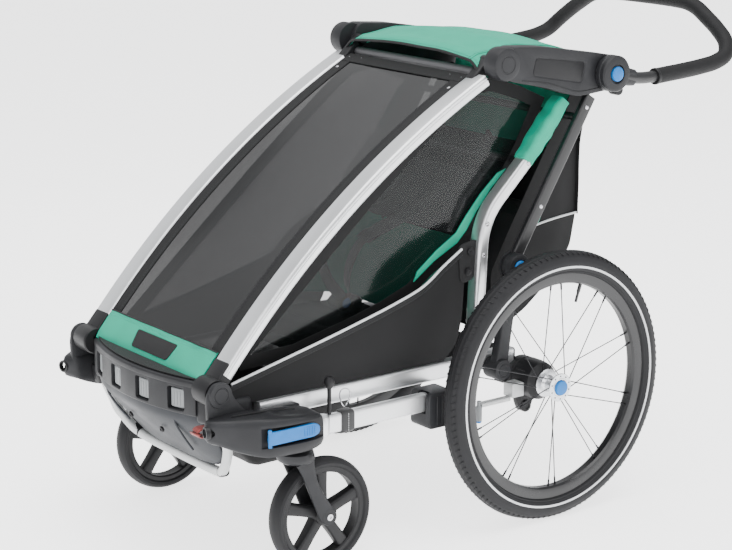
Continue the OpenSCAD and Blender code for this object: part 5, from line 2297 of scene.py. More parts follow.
@dataclass
class Cover:
    """The fabric body: windscreen, band, roof, windows, side panels, rear and floor."""

    frame: TrailerFrame
    bow: Bow = field(default_factory=Bow)
    panel_top: tuple[tuple[float, float], ...] = ((-0.632, 0.344), (-0.538, 0.366), (-0.440, 0.389), (-0.364, 0.408),
        (-0.290, 0.428), (-0.226, 0.450), (-0.181, 0.480), (-0.140, 0.505))
    panel_low: tuple[tuple[float, float], ...] = ((-0.132, 0.440), (-0.136, 0.380), (-0.148, 0.330), (-0.178, 0.3045),
        (-0.632, 0.3045))
    cloth_half: float = 0.1745

    def build(self) -> None:
        """Makes every cloth piece of the body."""
        self.shop = Assembly(self.frame)
        self.make_windscreen()
        self.make_band()
        self.make_roof()
        self.make_back()
        self.make_floor()
        self.make_linings()
        for side in Side:
            self.make_window(side)
            self.make_side_panel(side)
            self.make_rear_side(side)
        self.make_pull_strap()

    def front_sheet(self, name: str, x_range: tuple[float, float], s_range: tuple[float, float], lift: float,
            columns: int, rows: int, thickness: float, sag: float = 0.0) -> bpy.types.Object:
        """A sheet that lies on the front frame's arc between two sideways places.

        Args:
            name: what the new piece is called.
            x_range: the sideways places of its edges.
            s_range: where it starts and ends along the arc.
            lift: how far it is lifted off.
            columns: how many columns of faces.
            rows: how many rows of faces.
            thickness: thickness of the cloth.
            sag: how far its middle hangs in.

        Returns:
            The sheet.
        """
        made = []
        for i in range(rows + 1):
            s = s_range[0] + (s_range[1] - s_range[0]) * i / rows
            row = []
            for k in range(columns + 1):
                x = x_range[0] + (x_range[1] - x_range[0]) * k / columns
                hollow = sag * max(0.0, 1 - (x / 0.172) ** 2) * max(0.0, math.sin(math.pi * min(1, max(0, (s
                    / self.bow.length)))))
                row.append(self.frame.at(*self.bow.point(s, x, lift - hollow)))
            made.append(row)
        return thickened(outwards(surface(name, made)), thickness, 0.0)

    def declare(self, made: bpy.types.Object, size: tuple[float, float]) -> None:
        """Says how a sheet was cut.

        Args:
            made: the sheet.
            size: its flat width and length.
        """
        measured = cloth_area(made)
        log.info("SHEET %s area %.5f of %.5f = %.2f", made.name, measured, size[0] * size[1],
            measured / (size[0] * size[1]))

    def make_windscreen(self) -> None:
        """Tinted film with cloth borders, seams and a top hem."""
        length = self.bow.length
        film = self.front_sheet("windscreen_film", (-0.158, 0.158), (0.022, length - 0.008), -0.0042, 48, 72, 0.0006,
            0.006)
        self.shop.keep(film, FRONT_FILM, Body.FRONT, ("windscreen",))
        self.declare(film, (0.316, length - 0.030))
        for side in Side:
            tag, k = side.tag, side.value
            edge = self.front_sheet(f"windscreen_border_{tag}", (0.1500 * k, 0.1772 * k), (0.0, length - 0.004),
                -0.0036, 6, 72, 0.0016, 0.005)
            self.shop.keep(edge, BLACK_CLOTH, Body.FRONT)
            self.declare(edge, (0.0275, length - 0.003))
            for i, x in enumerate((0.1525, 0.1560, 0.1745)):
                self.shop.stitch(f"border_stitches_{tag}_{i}",
                    [self.frame.at(*self.bow.point(0.034 + (length - 0.05) * t / 60, x * k,
                    -0.00265 - 0.005 * (1 - (x / 0.172) ** 2) * (x < 0.172) * math.sin(math.pi * min(1, t / 60))))
                    for t in range(61)], Body.FRONT)
        top = self.front_sheet("windscreen_top_hem", (-0.1765, 0.1765), (length - 0.026, length - 0.002), -0.003, 40,
            4, 0.0018)
        self.shop.keep(top, BLACK_CLOTH, Body.FRONT)
        self.declare(top, (0.353, 0.024))

    def make_band(self) -> None:
        """Green band across the foot of the windscreen with a blank patch."""
        rows = []
        for i in range(15):
            s = -0.0265 + 0.0575 * i / 14
            row = []
            for k in range(49):
                x = -self.cloth_half + 2 * self.cloth_half * k / 48
                ripple = 0.0008 * noise.noise(Vector((x * 30, s * 40, 2.0)))
                tuck = 0.0025 * min(1.0, max(0.0, (-0.012 - s) / 0.014)) ** 2
                row.append(self.frame.at(*self.bow.point(s, x, -0.0012 + ripple - tuck)))
            rows.append(row)
        band = thickened(outwards(surface("lower_green_band", rows)), 0.0022, 0.0)
        self.shop.keep(band, GREEN, Body.FRONT, ("lower_band",))
        self.declare(band, (2 * self.cloth_half, 0.0575))
        for i, s in enumerate((0.0265, 0.0225)):
            self.shop.stitch(f"band_stitches_{i}",
                [self.frame.at(*self.bow.point(s, -0.172 + 0.344 * t / 40, 0.0002)) for t in range(41)], Body.FRONT,
                GREEN_STITCH)
        rows = []
        for i in range(7):
            row = []
            for k in range(49):
                x = -self.cloth_half + 2 * self.cloth_half * k / 48
                top = Vector(self.frame.at(*self.bow.point(-0.0250, x, -0.0030)))
                low = Vector(self.frame.at(x, BUMPER_CENTRE_Y - math.sqrt(0.466**2 - x * x), 0.3480))
                row.append(top.lerp(low, i / 6) + Vector((0, 0.003 * math.sin(math.pi * i / 6), 0)))
            rows.append(row)
        strip = thickened(outwards(surface("closing_strip", rows)), 0.0018)
        self.shop.keep(strip, HEM, Body.FRONT)
        self.declare(strip, (2 * self.cloth_half, cloth_area(strip) / (2 * self.cloth_half)))
        hem = swept("band_edge", [self.frame.at(*self.bow.point(0.0305,
            -self.cloth_half + 2 * self.cloth_half * t / 40, -0.0008)) for t in range(41)],
            rounded_box(0.0034, 0.0030, 0.0014, 2), (0, -1, 1))
        self.shop.keep(hem, HEM, Body.FRONT)
        corners = [(-0.066, 0.0165), (0.066, 0.0165), (0.058, -0.0165), (-0.058, -0.0165)]
        outline = rounded_corners([(x, s) for x, s in corners], 0.006, 4)
        dense = resampled(outline, 0.006)
        points, faces = [], []
        count = len(dense)
        for share, lift in ((1.0, 0.0002), (0.985, 0.0012), (0.6, 0.0015), (0.0001, 0.0016)):
            points += [self.frame.at(*self.bow.point(p.y * share, p.x * share, lift)) for p in dense]
        for ring in range(3):
            faces += [(ring * count + i, ring * count + (i + 1) % count, (ring + 1) * count + (i + 1) % count,
                (ring + 1) * count + i) for i in range(count)]
        patch = flat_map(outwards(from_faces("band_patch", points, faces)), 0, 1)
        self.shop.keep(patch, HEM, Body.FRONT)

    def roof_point(self, across: float, along: float) -> Vector:
        """A point of the roof; across runs from -1 to 1 and along from 0 at the front to 1.

        Args:
            across: from -1 on the right to 1 on the left.
            along: from 0 at the front to 1 at the back.

        Returns:
            The place in the model.
        """
        y = -0.097 + 0.287 * along
        spine = curve_value(along, ((0.0, 0.8445), (0.08, 0.8545), (0.35, 0.8655), (0.65, 0.8580), (0.9, 0.8370),
            (1.0, 0.8225)))
        side = curve_value(along, ((0.0, 0.8300), (0.08, 0.8380), (0.35, 0.8470), (0.65, 0.8390), (0.9, 0.8210),
            (1.0, 0.8120)))
        edge = abs(across)
        drop = max(0.0, (edge - 0.86) / 0.14)
        fall = edge**2.6
        z = spine + (side - spine) * fall - 0.016 * drop**1.6
        x = across * 0.2015 * (1 - 0.012 * drop)
        ripple = 0.0013 * noise.noise(Vector((x * 13, y * 9, 4.2))) * (1 - edge**6)
        return self.frame.at(x, y, z + ripple)

    def make_roof(self) -> None:
        """One continuous curved roof with hems, seams and stitches."""
        rows = [[self.roof_point(k / 32 - 1, i / 56) for k in range(65)] for i in range(57)]
        roof = thickened(outwards(surface("roof_sheet", rows)), 0.0022, -1.0)
        self.shop.keep(roof, GREEN, Body.SHOULDERS, ("roof",))
        self.declare(roof, (0.43, 0.30))
        front = [self.roof_point(k / 30 - 1, 0.0) for k in range(61)]
        hem = swept("roof_front_hem", front, rounded_box(0.0052, 0.0046, 0.002, 3), (0, -1, 1))
        self.shop.keep(hem, HEM, Body.SHOULDERS)
        back = [self.roof_point(k / 30 - 1, 1.0) for k in range(61)]
        rear = swept("roof_rear_hem", back, rounded_box(0.0052, 0.0046, 0.002, 3), (0, -1, 1))
        self.shop.keep(rear, HEM, Body.SHOULDERS)
        for side in Side:
            k = side.value
            edge = [self.roof_point(k * 1.0, i / 40) for i in range(41)]
            cord = swept(f"roof_edge_{side.tag}", edge, circle(0.0021, 8))
            self.shop.keep(cord, HEM, Body.SHOULDERS)
            seam = [self.roof_point(k * 0.84, i / 40) + Vector((0, 0, 0.0004)) for i in range(41)]
            raised = swept(f"roof_seam_{side.tag}", seam, rounded_box(0.0036, 0.0016, 0.0007, 2))
            self.shop.keep(raised, GREEN, Body.SHOULDERS)
            self.shop.stitch(f"roof_seam_stitches_{side.tag}",
                [self.roof_point(k * 0.815, i / 40) + Vector((0, 0, 0.0006)) for i in range(41)], Body.SHOULDERS,
                GREEN_STITCH)
        self.shop.stitch("roof_front_stitches",
            [self.roof_point(k / 30 - 1, 0.03) + Vector((0, 0, 0.0006)) for k in range(61)], Body.SHOULDERS,
            GREEN_STITCH)

    def make_window(self, side: Side) -> None:
        """Side window: tinted film in a cloth border, up to the front tube.

        Args:
            side: which side it is made for.
        """
        tag, k = side.tag, side.value
        outline = self.frame.side_points([(-0.612, 0.372), (-0.520, 0.4535), (-0.430, 0.5325), (-0.340, 0.6105),
            (-0.250, 0.6850), (-0.170, 0.7480), (-0.105, 0.7945), (-0.050, 0.8010), (0.020, 0.7790), (0.080, 0.7520),
            (0.030, 0.660), (-0.040, 0.560), (-0.105, 0.500), (-0.181, 0.458), (-0.226, 0.426), (-0.290, 0.402),
            (-0.364, 0.382), (-0.480, 0.356), (-0.590, 0.352)])
        x = 0.1745
        film = filled(f"side_film_{tag}", clear_inset(outline, 0.018), x - 0.001, 0.013)
        film = thickened(billowed(film, outline, 0.004, 0.12, 0.0015, 2.0), 0.0006)
        mirrored(film, side)
        self.shop.keep(film, SIDE_FILM, Body.FRONT, ("side_windows",) if side is Side.LEFT else ())
        frame_cloth = border(f"side_border_{tag}", outline, x, 0.024)
        mirrored(frame_cloth, side)
        self.shop.keep(frame_cloth, BLACK_CLOTH, Body.FRONT)
        start = self.frame.at(x * k, -0.16, 0.47)
        end = self.frame.at(x * k, -0.30, 0.60)
        for made in (film, frame_cloth):
            made.parent = None
            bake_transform(made)
        self.declare(film, (0.66, 0.40))
        self.declare(frame_cloth, (0.026, 2.05))

    def make_side_panel(self, side: Side) -> None:
        """Black lower side with piping on its top edge and a pair of snaps.

        Args:
            side: which side it is made for.
        """
        tag, k = side.tag, side.value
        top = [(v.x, v.y) for v in curve_through([(p[0], p[1], 0) for p in self.panel_top], 5)]
        low = rounded_corners(self.panel_low[:-1], 0.02, 4, closed=False)
        outline = self.frame.side_points([*top, *[(p[0], p[1]) for p in low], self.panel_low[-1]])
        panel = billowed(filled(f"side_cloth_{tag}", outline, 0.2075, 0.011), outline, 0.0042, 0.06, 0.0016, 5.0)
        panel = mirrored(thickened(panel, 0.003, -1.0), side)
        self.shop.keep(panel, BLACK_CLOTH, Body.CHASSIS, ("side_panels",) if side is Side.LEFT else ())
        self.declare(panel, (0.50, 0.20))
        line = [(0.2098,) + p for p in self.frame.side_points(top)]
        piping = mirrored(swept(f"side_piping_{tag}", line, circle(0.0024, 10), (1, 0, 0)), side)
        self.shop.keep(piping, PIPING, Body.CHASSIS)
        tape = mirrored(swept(f"side_hem_{tag}", [(0.2088, p[1], p[2] - 0.0075) for p in line],
            rounded_box(0.0032, 0.011, 0.0012, 2), (0, 0, 1)), side)
        self.shop.keep(tape, HEM, Body.CHASSIS)
        self.shop.stitch(f"side_stitches_{tag}", [(0.2110 * k, p[1], p[2] - 0.0115) for p in line], Body.CHASSIS)
        snaps = []
        for y, z in ((-0.1215, 0.4985), (-0.1255, 0.462)):
            snaps.append(turned("snap", self.frame.at(0.2118, y, z), [(0, -0.002), (0.0068, -0.002), (0.0072, 0.0),
                (0.0066, 0.0017), (0.0036, 0.0022), (0.0028, 0.0014), (0, 0.0013)], 28))
        tab = softened(plate("tab", self.frame.side_points(rounded_corners([(-0.148, 0.512), (-0.104, 0.520),
            (-0.100, 0.478), (-0.112, 0.446), (-0.142, 0.440)], 0.012, 4)), 0.2072, 0.2098), 0.0008, 2)
        self.shop.keep(mirrored(joined(f"side_tab_{tag}", [tab]), side), HEM, Body.CHASSIS)
        self.shop.keep(mirrored(joined(f"side_snaps_{tag}", snaps), side), PLASTIC, Body.CHASSIS)

    def make_rear_side(self, side: Side) -> None:
        """Black cloth and the green stripe between the seat tube and the rear strut.

        Args:
            side: which side it is made for.
        """
        tag = side.tag
        outline = self.frame.side_points(rounded_corners([(-0.055, 0.445), (-0.012, 0.520), (0.055, 0.630),
            (0.105, 0.712), (0.140, 0.770), (0.168, 0.772), (0.153, 0.700), (0.1495, 0.600), (0.1500, 0.530),
            (0.1380, 0.470), (0.095, 0.415), (0.030, 0.366), (-0.020, 0.340), (-0.052, 0.360)], 0.012, 3))
        cloth = billowed(filled(f"rear_side_cloth_{tag}", outline, 0.1885, 0.011), outline, 0.0035, 0.05, 0.0014, 8.0)
        cloth = mirrored(thickened(cloth, 0.002), side)
        self.shop.keep(cloth, BLACK_CLOTH, Body.STRUTS)
        cloth.parent = None
        tuple(self.frame.at(0, 0.0, 0.40))
        tuple(self.frame.at(0, 0.07, 0.52))
        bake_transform(cloth)
        self.declare(cloth, (0.40, 0.20))
        points = [(0.0235, 0.5165), (0.0540, 0.5225), (0.1150, 0.6400), (0.1455, 0.7020), (0.0870, 0.6150)]
        stripe_line = self.frame.side_points(points)
        stripe = billowed(filled(f"green_stripe_{tag}", stripe_line, 0.1925, 0.009), stripe_line, 0.0015, 0.01,
            0.0006)
        stripe = mirrored(thickened(stripe, 0.0022), side)
        self.shop.keep(stripe, GREEN, Body.STRUTS)
        self.declare(stripe, (0.215, 0.032))
        line = [(0.1935, self.frame.axle.y + v.x, v.y) for v in curve_through([(0.0215, 0.5150, 0),
            (0.0600, 0.5230, 0), (0.1080, 0.5290, 0), (0.1500, 0.5325, 0)], 5)]
        piping = mirrored(swept(f"bag_piping_{tag}", line, circle(0.0021, 8), (1, 0, 0)), side)
        self.shop.keep(piping, PIPING, Body.STRUTS)

    def loft(self, name: str, stations: Sequence[tuple[float, float, float, float]], half: float, steps: int,
            bulge: float) -> bpy.types.Object:
        """A closed bag through stations of (front y, rear y, height, width share).

        Args:
            name: what the new piece is called.
            stations: each station's front, rear, height and share of the width.
            half: half of its width.
            steps: how many steps each stretch is cut into.
            bulge: how far the bag bulges.

        Returns:
            The closed bag.
        """
        knots = [Vector((s[0], s[1], s[2])) for s in stations]
        shares = [s[3] for s in stations]
        dense = curve_through(knots, steps)
        rows = []
        for i, knot in enumerate(dense):
            share = shares[min(len(shares) - 1, i // steps)]
            after = shares[min(len(shares) - 1, i // steps + 1)]
            share += (after - share) * (i % steps) / steps
            middle, depth = (knot.x + knot.y) / 2, abs(knot.y - knot.x) / 2
            row = []
            for a, b in rounded_box(2.0, 2.0, 0.42, 8):
                x = a * half * share
                swell = bulge * (1 - min(1.0, abs(a)) ** 2) * (1 if b > 0 else 0.2)
                row.append(self.frame.at(x, middle + b * depth + math.copysign(swell, b), knot.z))
            rows.append(row)
        return outwards(surface(name, rows, closed=True, capped=True))

    def make_back(self) -> None:
        """Rear panel with a net window, and the sagging cargo bag below it."""
        rows = []
        for i in range(33):
            t = i / 32
            z = 0.795 - 0.265 * t
            y = curve_value(t, ((0.0, 0.190), (0.28, 0.160), (0.5, 0.151), (1.0, 0.150)))
            row = []
            for k in range(41):
                a = k / 20 - 1
                row.append(self.frame.at(0.196 * a,
                    y - 0.013 * (1 - a * a) * math.sin(math.pi * t) + 0.0015 * noise.noise(Vector((a * 3, t * 4, 1))),
                    z))
            rows.append(row)
        panel = thickened(outwards(surface("rear_cloth", rows)), 0.0022)
        self.shop.keep(panel, BLACK_CLOTH, Body.STRUTS, ("rear_panel",))
        self.declare(panel, (0.395, 0.28))
        window = [[Vector(p) + Vector((0, 0.0032, 0)) for p in row[8:33]] for row in rows[5:20]]
        net = thickened(outwards(surface("rear_net", window)), 0.0008)
        self.shop.keep(net, GREY_CLOTH, Body.STRUTS)
        edge = [*window[0], *[row[-1] for row in window[1:-1]], *window[-1][::-1],
            *[row[0] for row in window[1:-1]][::-1]]
        rim = swept("rear_net_edge", edge, rounded_box(0.006, 0.003, 0.0012, 2), (0, 1, 0), closed=True)
        self.shop.keep(rim, HEM, Body.STRUTS)
        bag = self.loft("cargo_shell", ((-0.050, -0.018, 0.332, 0.92), (-0.064, 0.034, 0.352, 0.98),
            (-0.060, 0.088, 0.404, 1.0), (-0.036, 0.128, 0.455, 1.0), (0.030, 0.144, 0.515, 1.0),
            (0.050, 0.145, 0.528, 0.99)), 0.186, 6, 0.008)
        bag = crumpled(bag, 0.0045, 14.0, 3.0)
        self.shop.keep(bag, GREY_CLOTH, Body.CHASSIS, ("cargo_bag",), 0.9)
        bag.parent = None
        tuple(self.frame.at(0, 0.0, 0.40))
        tuple(self.frame.at(0, 0.07, 0.52))
        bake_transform(bag)
        hem = swept("cargo_hem",
            [self.frame.at(x, 0.1555 - 0.006 * (x / 0.17) ** 2, 0.527) for x in (-0.17 + 0.34 * k / 30
            for k in range(31))], rounded_box(0.016, 0.004, 0.0015, 2), (0, 1, 0))
        self.shop.keep(hem, HEM, Body.STRUTS)

    def make_linings(self) -> None:
        """Green linings: across the upper back, and scooped around the seat."""
        rows = []
        for i in range(17):
            t = i / 16
            y = 0.172 - 0.034 * t
            rows.append([self.frame.at(0.182 * (k / 16 - 1),
                y - 0.016 * math.sin(math.pi * t) * (1 - (k / 16 - 1) ** 2) + 0.002 * noise.noise(Vector((k * 0.4, i
                * 0.3, 2))), 0.822 - 0.176 * t) for k in range(33)])
        upper = thickened(outwards(surface("upper_lining", rows)), 0.0016)
        self.shop.keep(upper, GREEN_INSIDE, Body.STRUTS)
        self.declare(upper, (0.366, 0.185))
        rows = []
        for i in range(25):
            t = i / 24
            z = 0.356 + 0.150 * t
            pad = -0.1265 + (z - 0.372) * 0.434 - 0.0195
            reach = 0.150 - 0.115 * t**1.3
            row = []
            for k in range(65):
                u = k / 32 - 1
                turn = max(0.0, (abs(u) - 0.70) / 0.30)
                x = math.copysign(min(abs(u) * 0.172, 0.1685), u)
                row.append(self.frame.at(x, pad - reach * turn**1.5 - 0.002 * math.sin(abs(u) * 9) * t,
                    z + 0.018 * turn))
            rows.append(row)
        seat = thickened(outwards(surface("seat_lining", rows)), 0.0018)
        self.shop.keep(seat, GREEN_INSIDE, Body.CHASSIS)
        self.declare(seat, (0.47, 0.162))
        for side in Side:
            edge = [(-0.226, 0.452), (-0.181, 0.483), (-0.128, 0.509), (-0.1065, 0.530), (-0.0850, 0.560),
                (-0.0500, 0.600), (-0.0150, 0.632), (-0.0350, 0.626), (-0.0750, 0.592), (-0.1080, 0.556),
                (-0.1300, 0.528), (-0.1750, 0.502), (-0.2180, 0.470)]
            outline = self.frame.side_points(edge)
            trim = mirrored(thickened(filled(f"seat_side_trim_{side.tag}", outline, 0.1805, 0.009), 0.002), side)
            self.shop.keep(trim, GREEN, Body.CHASSIS)
            trim.parent = None
            tuple(self.frame.at(0, -0.17, 0.46))
            tuple(self.frame.at(0, -0.06, 0.59))
            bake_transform(trim)
            self.declare(trim, (0.28, 0.036))

    def make_floor(self) -> None:
        """Black sling of the footwell, hanging from the rails."""
        rows = []
        for t in (k / 24 for k in range(25)):
            row = []
            for k in range(49):
                u = k / 24 - 1
                edge = abs(u)
                x = math.copysign(0.181 * min(1.0, edge * 1.9) * (1 - 0.20 * (1 - min(1, max(0, (edge - 0.5) * 2)))),
                    u)
                depth = 0.110 * (1 - min(1.0, max(0.0, (edge - 0.50) / 0.50)) ** 1.6)
                ends = min(1.0, 4.5 * t, 3.0 * (1 - t)) ** 0.7 if 0 < t < 1 else 0.0
                y = -0.602 + 0.250 * t
                wave = 0.0018 * noise.noise(Vector((x * 20, y * 20, 7)))
                row.append(self.frame.at(x, y, 0.276 - depth * (0.25 + 0.75 * ends) + wave))
            rows.append(row)
        sling = thickened(outwards(surface("footwell_cloth", rows)), 0.0024)
        self.shop.keep(sling, BLACK_CLOTH, Body.CHASSIS, ("floor_sling",), 0.9)
        self.declare(sling, (0.50, 0.33))
        deck = []
        for i in range(17):
            y = -0.352 + 0.330 * i / 16
            deck.append([self.frame.at(0.184 * (k / 16 - 1), y,
                0.300 - 0.010 * (1 - (k / 16 - 1) ** 2) * math.sin(math.pi * min(1, i / 16)) + 0.001
                * noise.noise(Vector((k, i, 3)) * 0.4)) for k in range(33)])
        made = thickened(outwards(surface("floor_cloth", deck)), 0.0022)
        self.shop.keep(made, BLACK_CLOTH, Body.CHASSIS)
        self.declare(made, (0.37, 0.331))

    def make_pull_strap(self) -> None:
        """Red webbing loop under the front left corner."""
        path = curve_through([self.frame.at(0.206, -0.6755, 0.2655), self.frame.at(0.207, -0.690, 0.2645),
            self.frame.at(0.208, -0.7015, 0.2685), self.frame.at(0.209, -0.7035, 0.2745),
            self.frame.at(0.209, -0.698, 0.2795), self.frame.at(0.208, -0.6855, 0.2800),
            self.frame.at(0.207, -0.6760, 0.2785)], 6)
        loop = swept("pull_loop", path, rounded_box(0.0200, 0.0021, 0.0008, 2), (0, 0.3, 1))
        self.shop.keep(loop, RED_STRAP, Body.CHASSIS, ("pull_strap",))
        self.declare(loop, (0.020, 0.068))


def curve_value(at: float, knots: Sequence[tuple[float, float]]) -> float:
    """A smooth value between knots of (place, value).

    Args:
        at: the place that is asked for.
        knots: the places with their values.

    Returns:
        The value at that place.
    """
    if at <= knots[0][0]:
        return knots[0][1]
    for (a, low), (b, high) in zip(knots, knots[1:]):
        if at <= b:
            t = (at - a) / (b - a)
            t = t * t * (3 - 2 * t) * 0.5 + t * 0.5
            return low + (high - low) * t
    return knots[-1][1]


# ---------------------------------------------------------------- seat and harness


@dataclass
class Seat:
    """Padded seat back and base with the harness."""

    frame: TrailerFrame

    def build(self) -> None:
        """Makes the pads, the straps and the buckle."""
        shop = Assembly(self.frame)
        self.make_back(shop)
        self.make_base(shop)
        self.make_harness(shop)

    def pad(self, name: str, low: Vector, high: Vector, half: float, thick: float) -> bpy.types.Object:
        """A rounded pad between two points of the side view, ready to be stuffed.

        Args:
            name: what the new piece is called.
            low: the middle of the lower end.
            high: the middle of the upper end.
            half: half of its width.
            thick: thickness of the pad.

        Returns:
            The unfilled pad.
        """
        along = unit(high - low)
        normal = Vector((0, -along.z, along.y))
        rows = []
        count = 14
        for i in range(count + 1):
            t = i / count
            centre = low.lerp(high, t)
            narrow = 1 - 0.06 * math.cos(math.tau * t) * 0.5
            row = []
            for a, b in rounded_box(2.0, 2.0, 0.6, 6):
                row.append(centre + Vector((a * half * narrow, 0, 0)) + normal * (b * thick / 2))
            rows.append(row)
        return outwards(surface(name, rows, closed=True, capped=True))

    def make_back(self, shop: Assembly) -> None:
        """Seat back with a sewn border and cross channels.

        Args:
            shop: the assembly that keeps the pieces.
        """
        at = self.frame.at
        low, high = at(0, -0.1265, 0.372), at(0, -0.018, 0.622)
        pad = inflated(self.pad("seat_back_pad", low, high, 0.157, 0.020), 0.007)
        along = unit(high - low)
        lines = [(low.lerp(high, s), along) for s in (0.28, 0.55, 0.80)]
        lines += [((x, 0, 0), (1, 0, 0)) for x in (-0.118, 0.118)]
        pad = crumpled(channelled(pad, lines, 0.0042, 0.0045), 0.0012, 22.0, 4.0)
        shop.keep(pad, PAD_CLOTH, Body.CHASSIS, ("seat_back",), 1.2)
        pad.parent = None
        tuple(low)
        tuple(low.lerp(high, 0.75))
        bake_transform(pad)

    def make_base(self, shop: Assembly) -> None:
        """Seat base pad, stuffed, with sewn channels.

        Args:
            shop: the assembly that keeps the pieces.
        """
        at = self.frame.at
        pad = inflated(self.pad("seat_base_pad", at(0, -0.356, 0.334), at(0, -0.146, 0.332), 0.160, 0.026), 0.008)
        lines = [((0, at(0, y, 0).y, 0), (0, 1, 0)) for y in (-0.310, -0.235)]
        lines += [((x, 0, 0), (1, 0, 0)) for x in (-0.122, 0.122)]
        pad = crumpled(channelled(pad, lines, 0.004, 0.005), 0.0012, 20.0, 6.0)
        shop.keep(pad, PAD_CLOTH, Body.CHASSIS, ("seat_base",), 1.2)

    def make_harness(self, shop: Assembly) -> None:
        """Shoulder straps with quilted pads, a buckle and the crotch strap.

        Args:
            shop: the assembly that keeps the pieces.
        """
        at = self.frame.at
        pieces = []
        for side in Side:
            tag, k = side.tag, side.value
            line = curve_through([at(0.062 * k, -0.062, 0.588), at(0.061 * k, -0.098, 0.566),
                at(0.060 * k, -0.146, 0.545), at(0.058 * k, -0.200, 0.527), at(0.054 * k, -0.244, 0.508),
                at(0.046 * k, -0.2660, 0.470), at(0.030 * k, -0.2620, 0.420), at(0.014 * k, -0.240, 0.384)], 8)
            strap = swept(f"shoulder_strap_{tag}", line, rounded_box(0.025, 0.0018, 0.0007, 2), (0, -1, 0.5))
            shop.keep(strap, STRAP, Body.CHASSIS)
            strap.parent = None
            tuple(at(0, -0.20, 0.38))
            tuple(at(0, -0.06, 0.58))
            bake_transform(strap)
            rows = []
            count = 40
            spine = line[9:33]
            for i, point in enumerate(spine):
                t = i / (len(spine) - 1)
                ahead = unit(spine[min(i + 1, len(spine) - 1)] - spine[max(i - 1, 0)])
                across = unit(ahead.cross(Vector((0, -1, 0.5))))
                rise = across.cross(ahead)
                puff = 0.0055 * (0.62 + 0.38 * abs(math.sin(math.pi * t * 4.0))) * min(1.0, 8 * t + 0.25, 8 * (1 - t)
                    + 0.25)
                rows.append([point + across * a * 0.022 + rise * (b * puff) for a,
                    b in rounded_box(2.0, 2.0, 0.8, 5)])
            pad = outwards(surface(f"shoulder_pad_{tag}", rows, closed=True, capped=True))
            shop.keep(pad, PAD_CLOTH, Body.CHASSIS, (), 1.0)
            pad.parent = None
            tuple(at(0, -0.20, 0.38))
            tuple(at(0, -0.06, 0.58))
            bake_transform(pad)
            belt = swept(f"lap_strap_{tag}", curve_through([at(0.014 * k, -0.226, 0.371),
                at(0.070 * k, -0.218, 0.364), at(0.120 * k, -0.190, 0.358), at(0.150 * k, -0.158, 0.356)], 8),
                rounded_box(0.022, 0.0018, 0.0007, 2), (0, -1, 0.6))
            shop.keep(belt, STRAP, Body.CHASSIS)
        outline = rounded_corners([(-0.024, -0.017), (0.024, -0.017), (0.029, 0.004), (0.019, 0.021), (-0.019, 0.021),
            (-0.029, 0.004)], 0.010, 5)
        middle = at(0, -0.234, 0.374)
        rise = unit(Vector((0, -1, 0.75)))
        up = unit(Vector((0, 0.75, 1)))
        points, faces = [], []
        count = len(outline)
        for share, lift in ((0.94, -0.006), (1.0, -0.004), (1.0, 0.003), (0.93, 0.0055), (0.6, 0.0065),
                (0.001, 0.0068)):
            points += [middle + Vector((p.x * share, 0, 0)) + up * p.y * share + rise * lift for p in outline]
        for ring in range(5):
            faces += [(ring * count + i, ring * count + (i + 1) % count, (ring + 1) * count + (i + 1) % count,
                (ring + 1) * count + i) for i in range(count)]
        faces.append(tuple(range(count - 1, -1, -1)))
        buckle = outwards(from_faces("buckle", points, faces))
        shop.keep(buckle, PLASTIC, Body.CHASSIS)
        button = turned("buckle_button", middle + rise * 0.0062, [(0, -0.002), (0.0105, -0.002), (0.0105, 0.0012),
            (0.0092, 0.0026), (0, 0.0030)], 36, rise)
        shop.keep(button, BLUE, Body.CHASSIS)
        crotch = swept("crotch_strap", curve_through([at(0, -0.240, 0.366), at(0, -0.258, 0.3535),
            at(0, -0.272, 0.350), at(0, -0.290, 0.3495)], 6), rounded_box(0.025, 0.0018, 0.0007, 2), (0, -0.4, 1))
        shop.keep(crotch, STRAP, Body.CHASSIS)


# ---------------------------------------------------------------- hitch


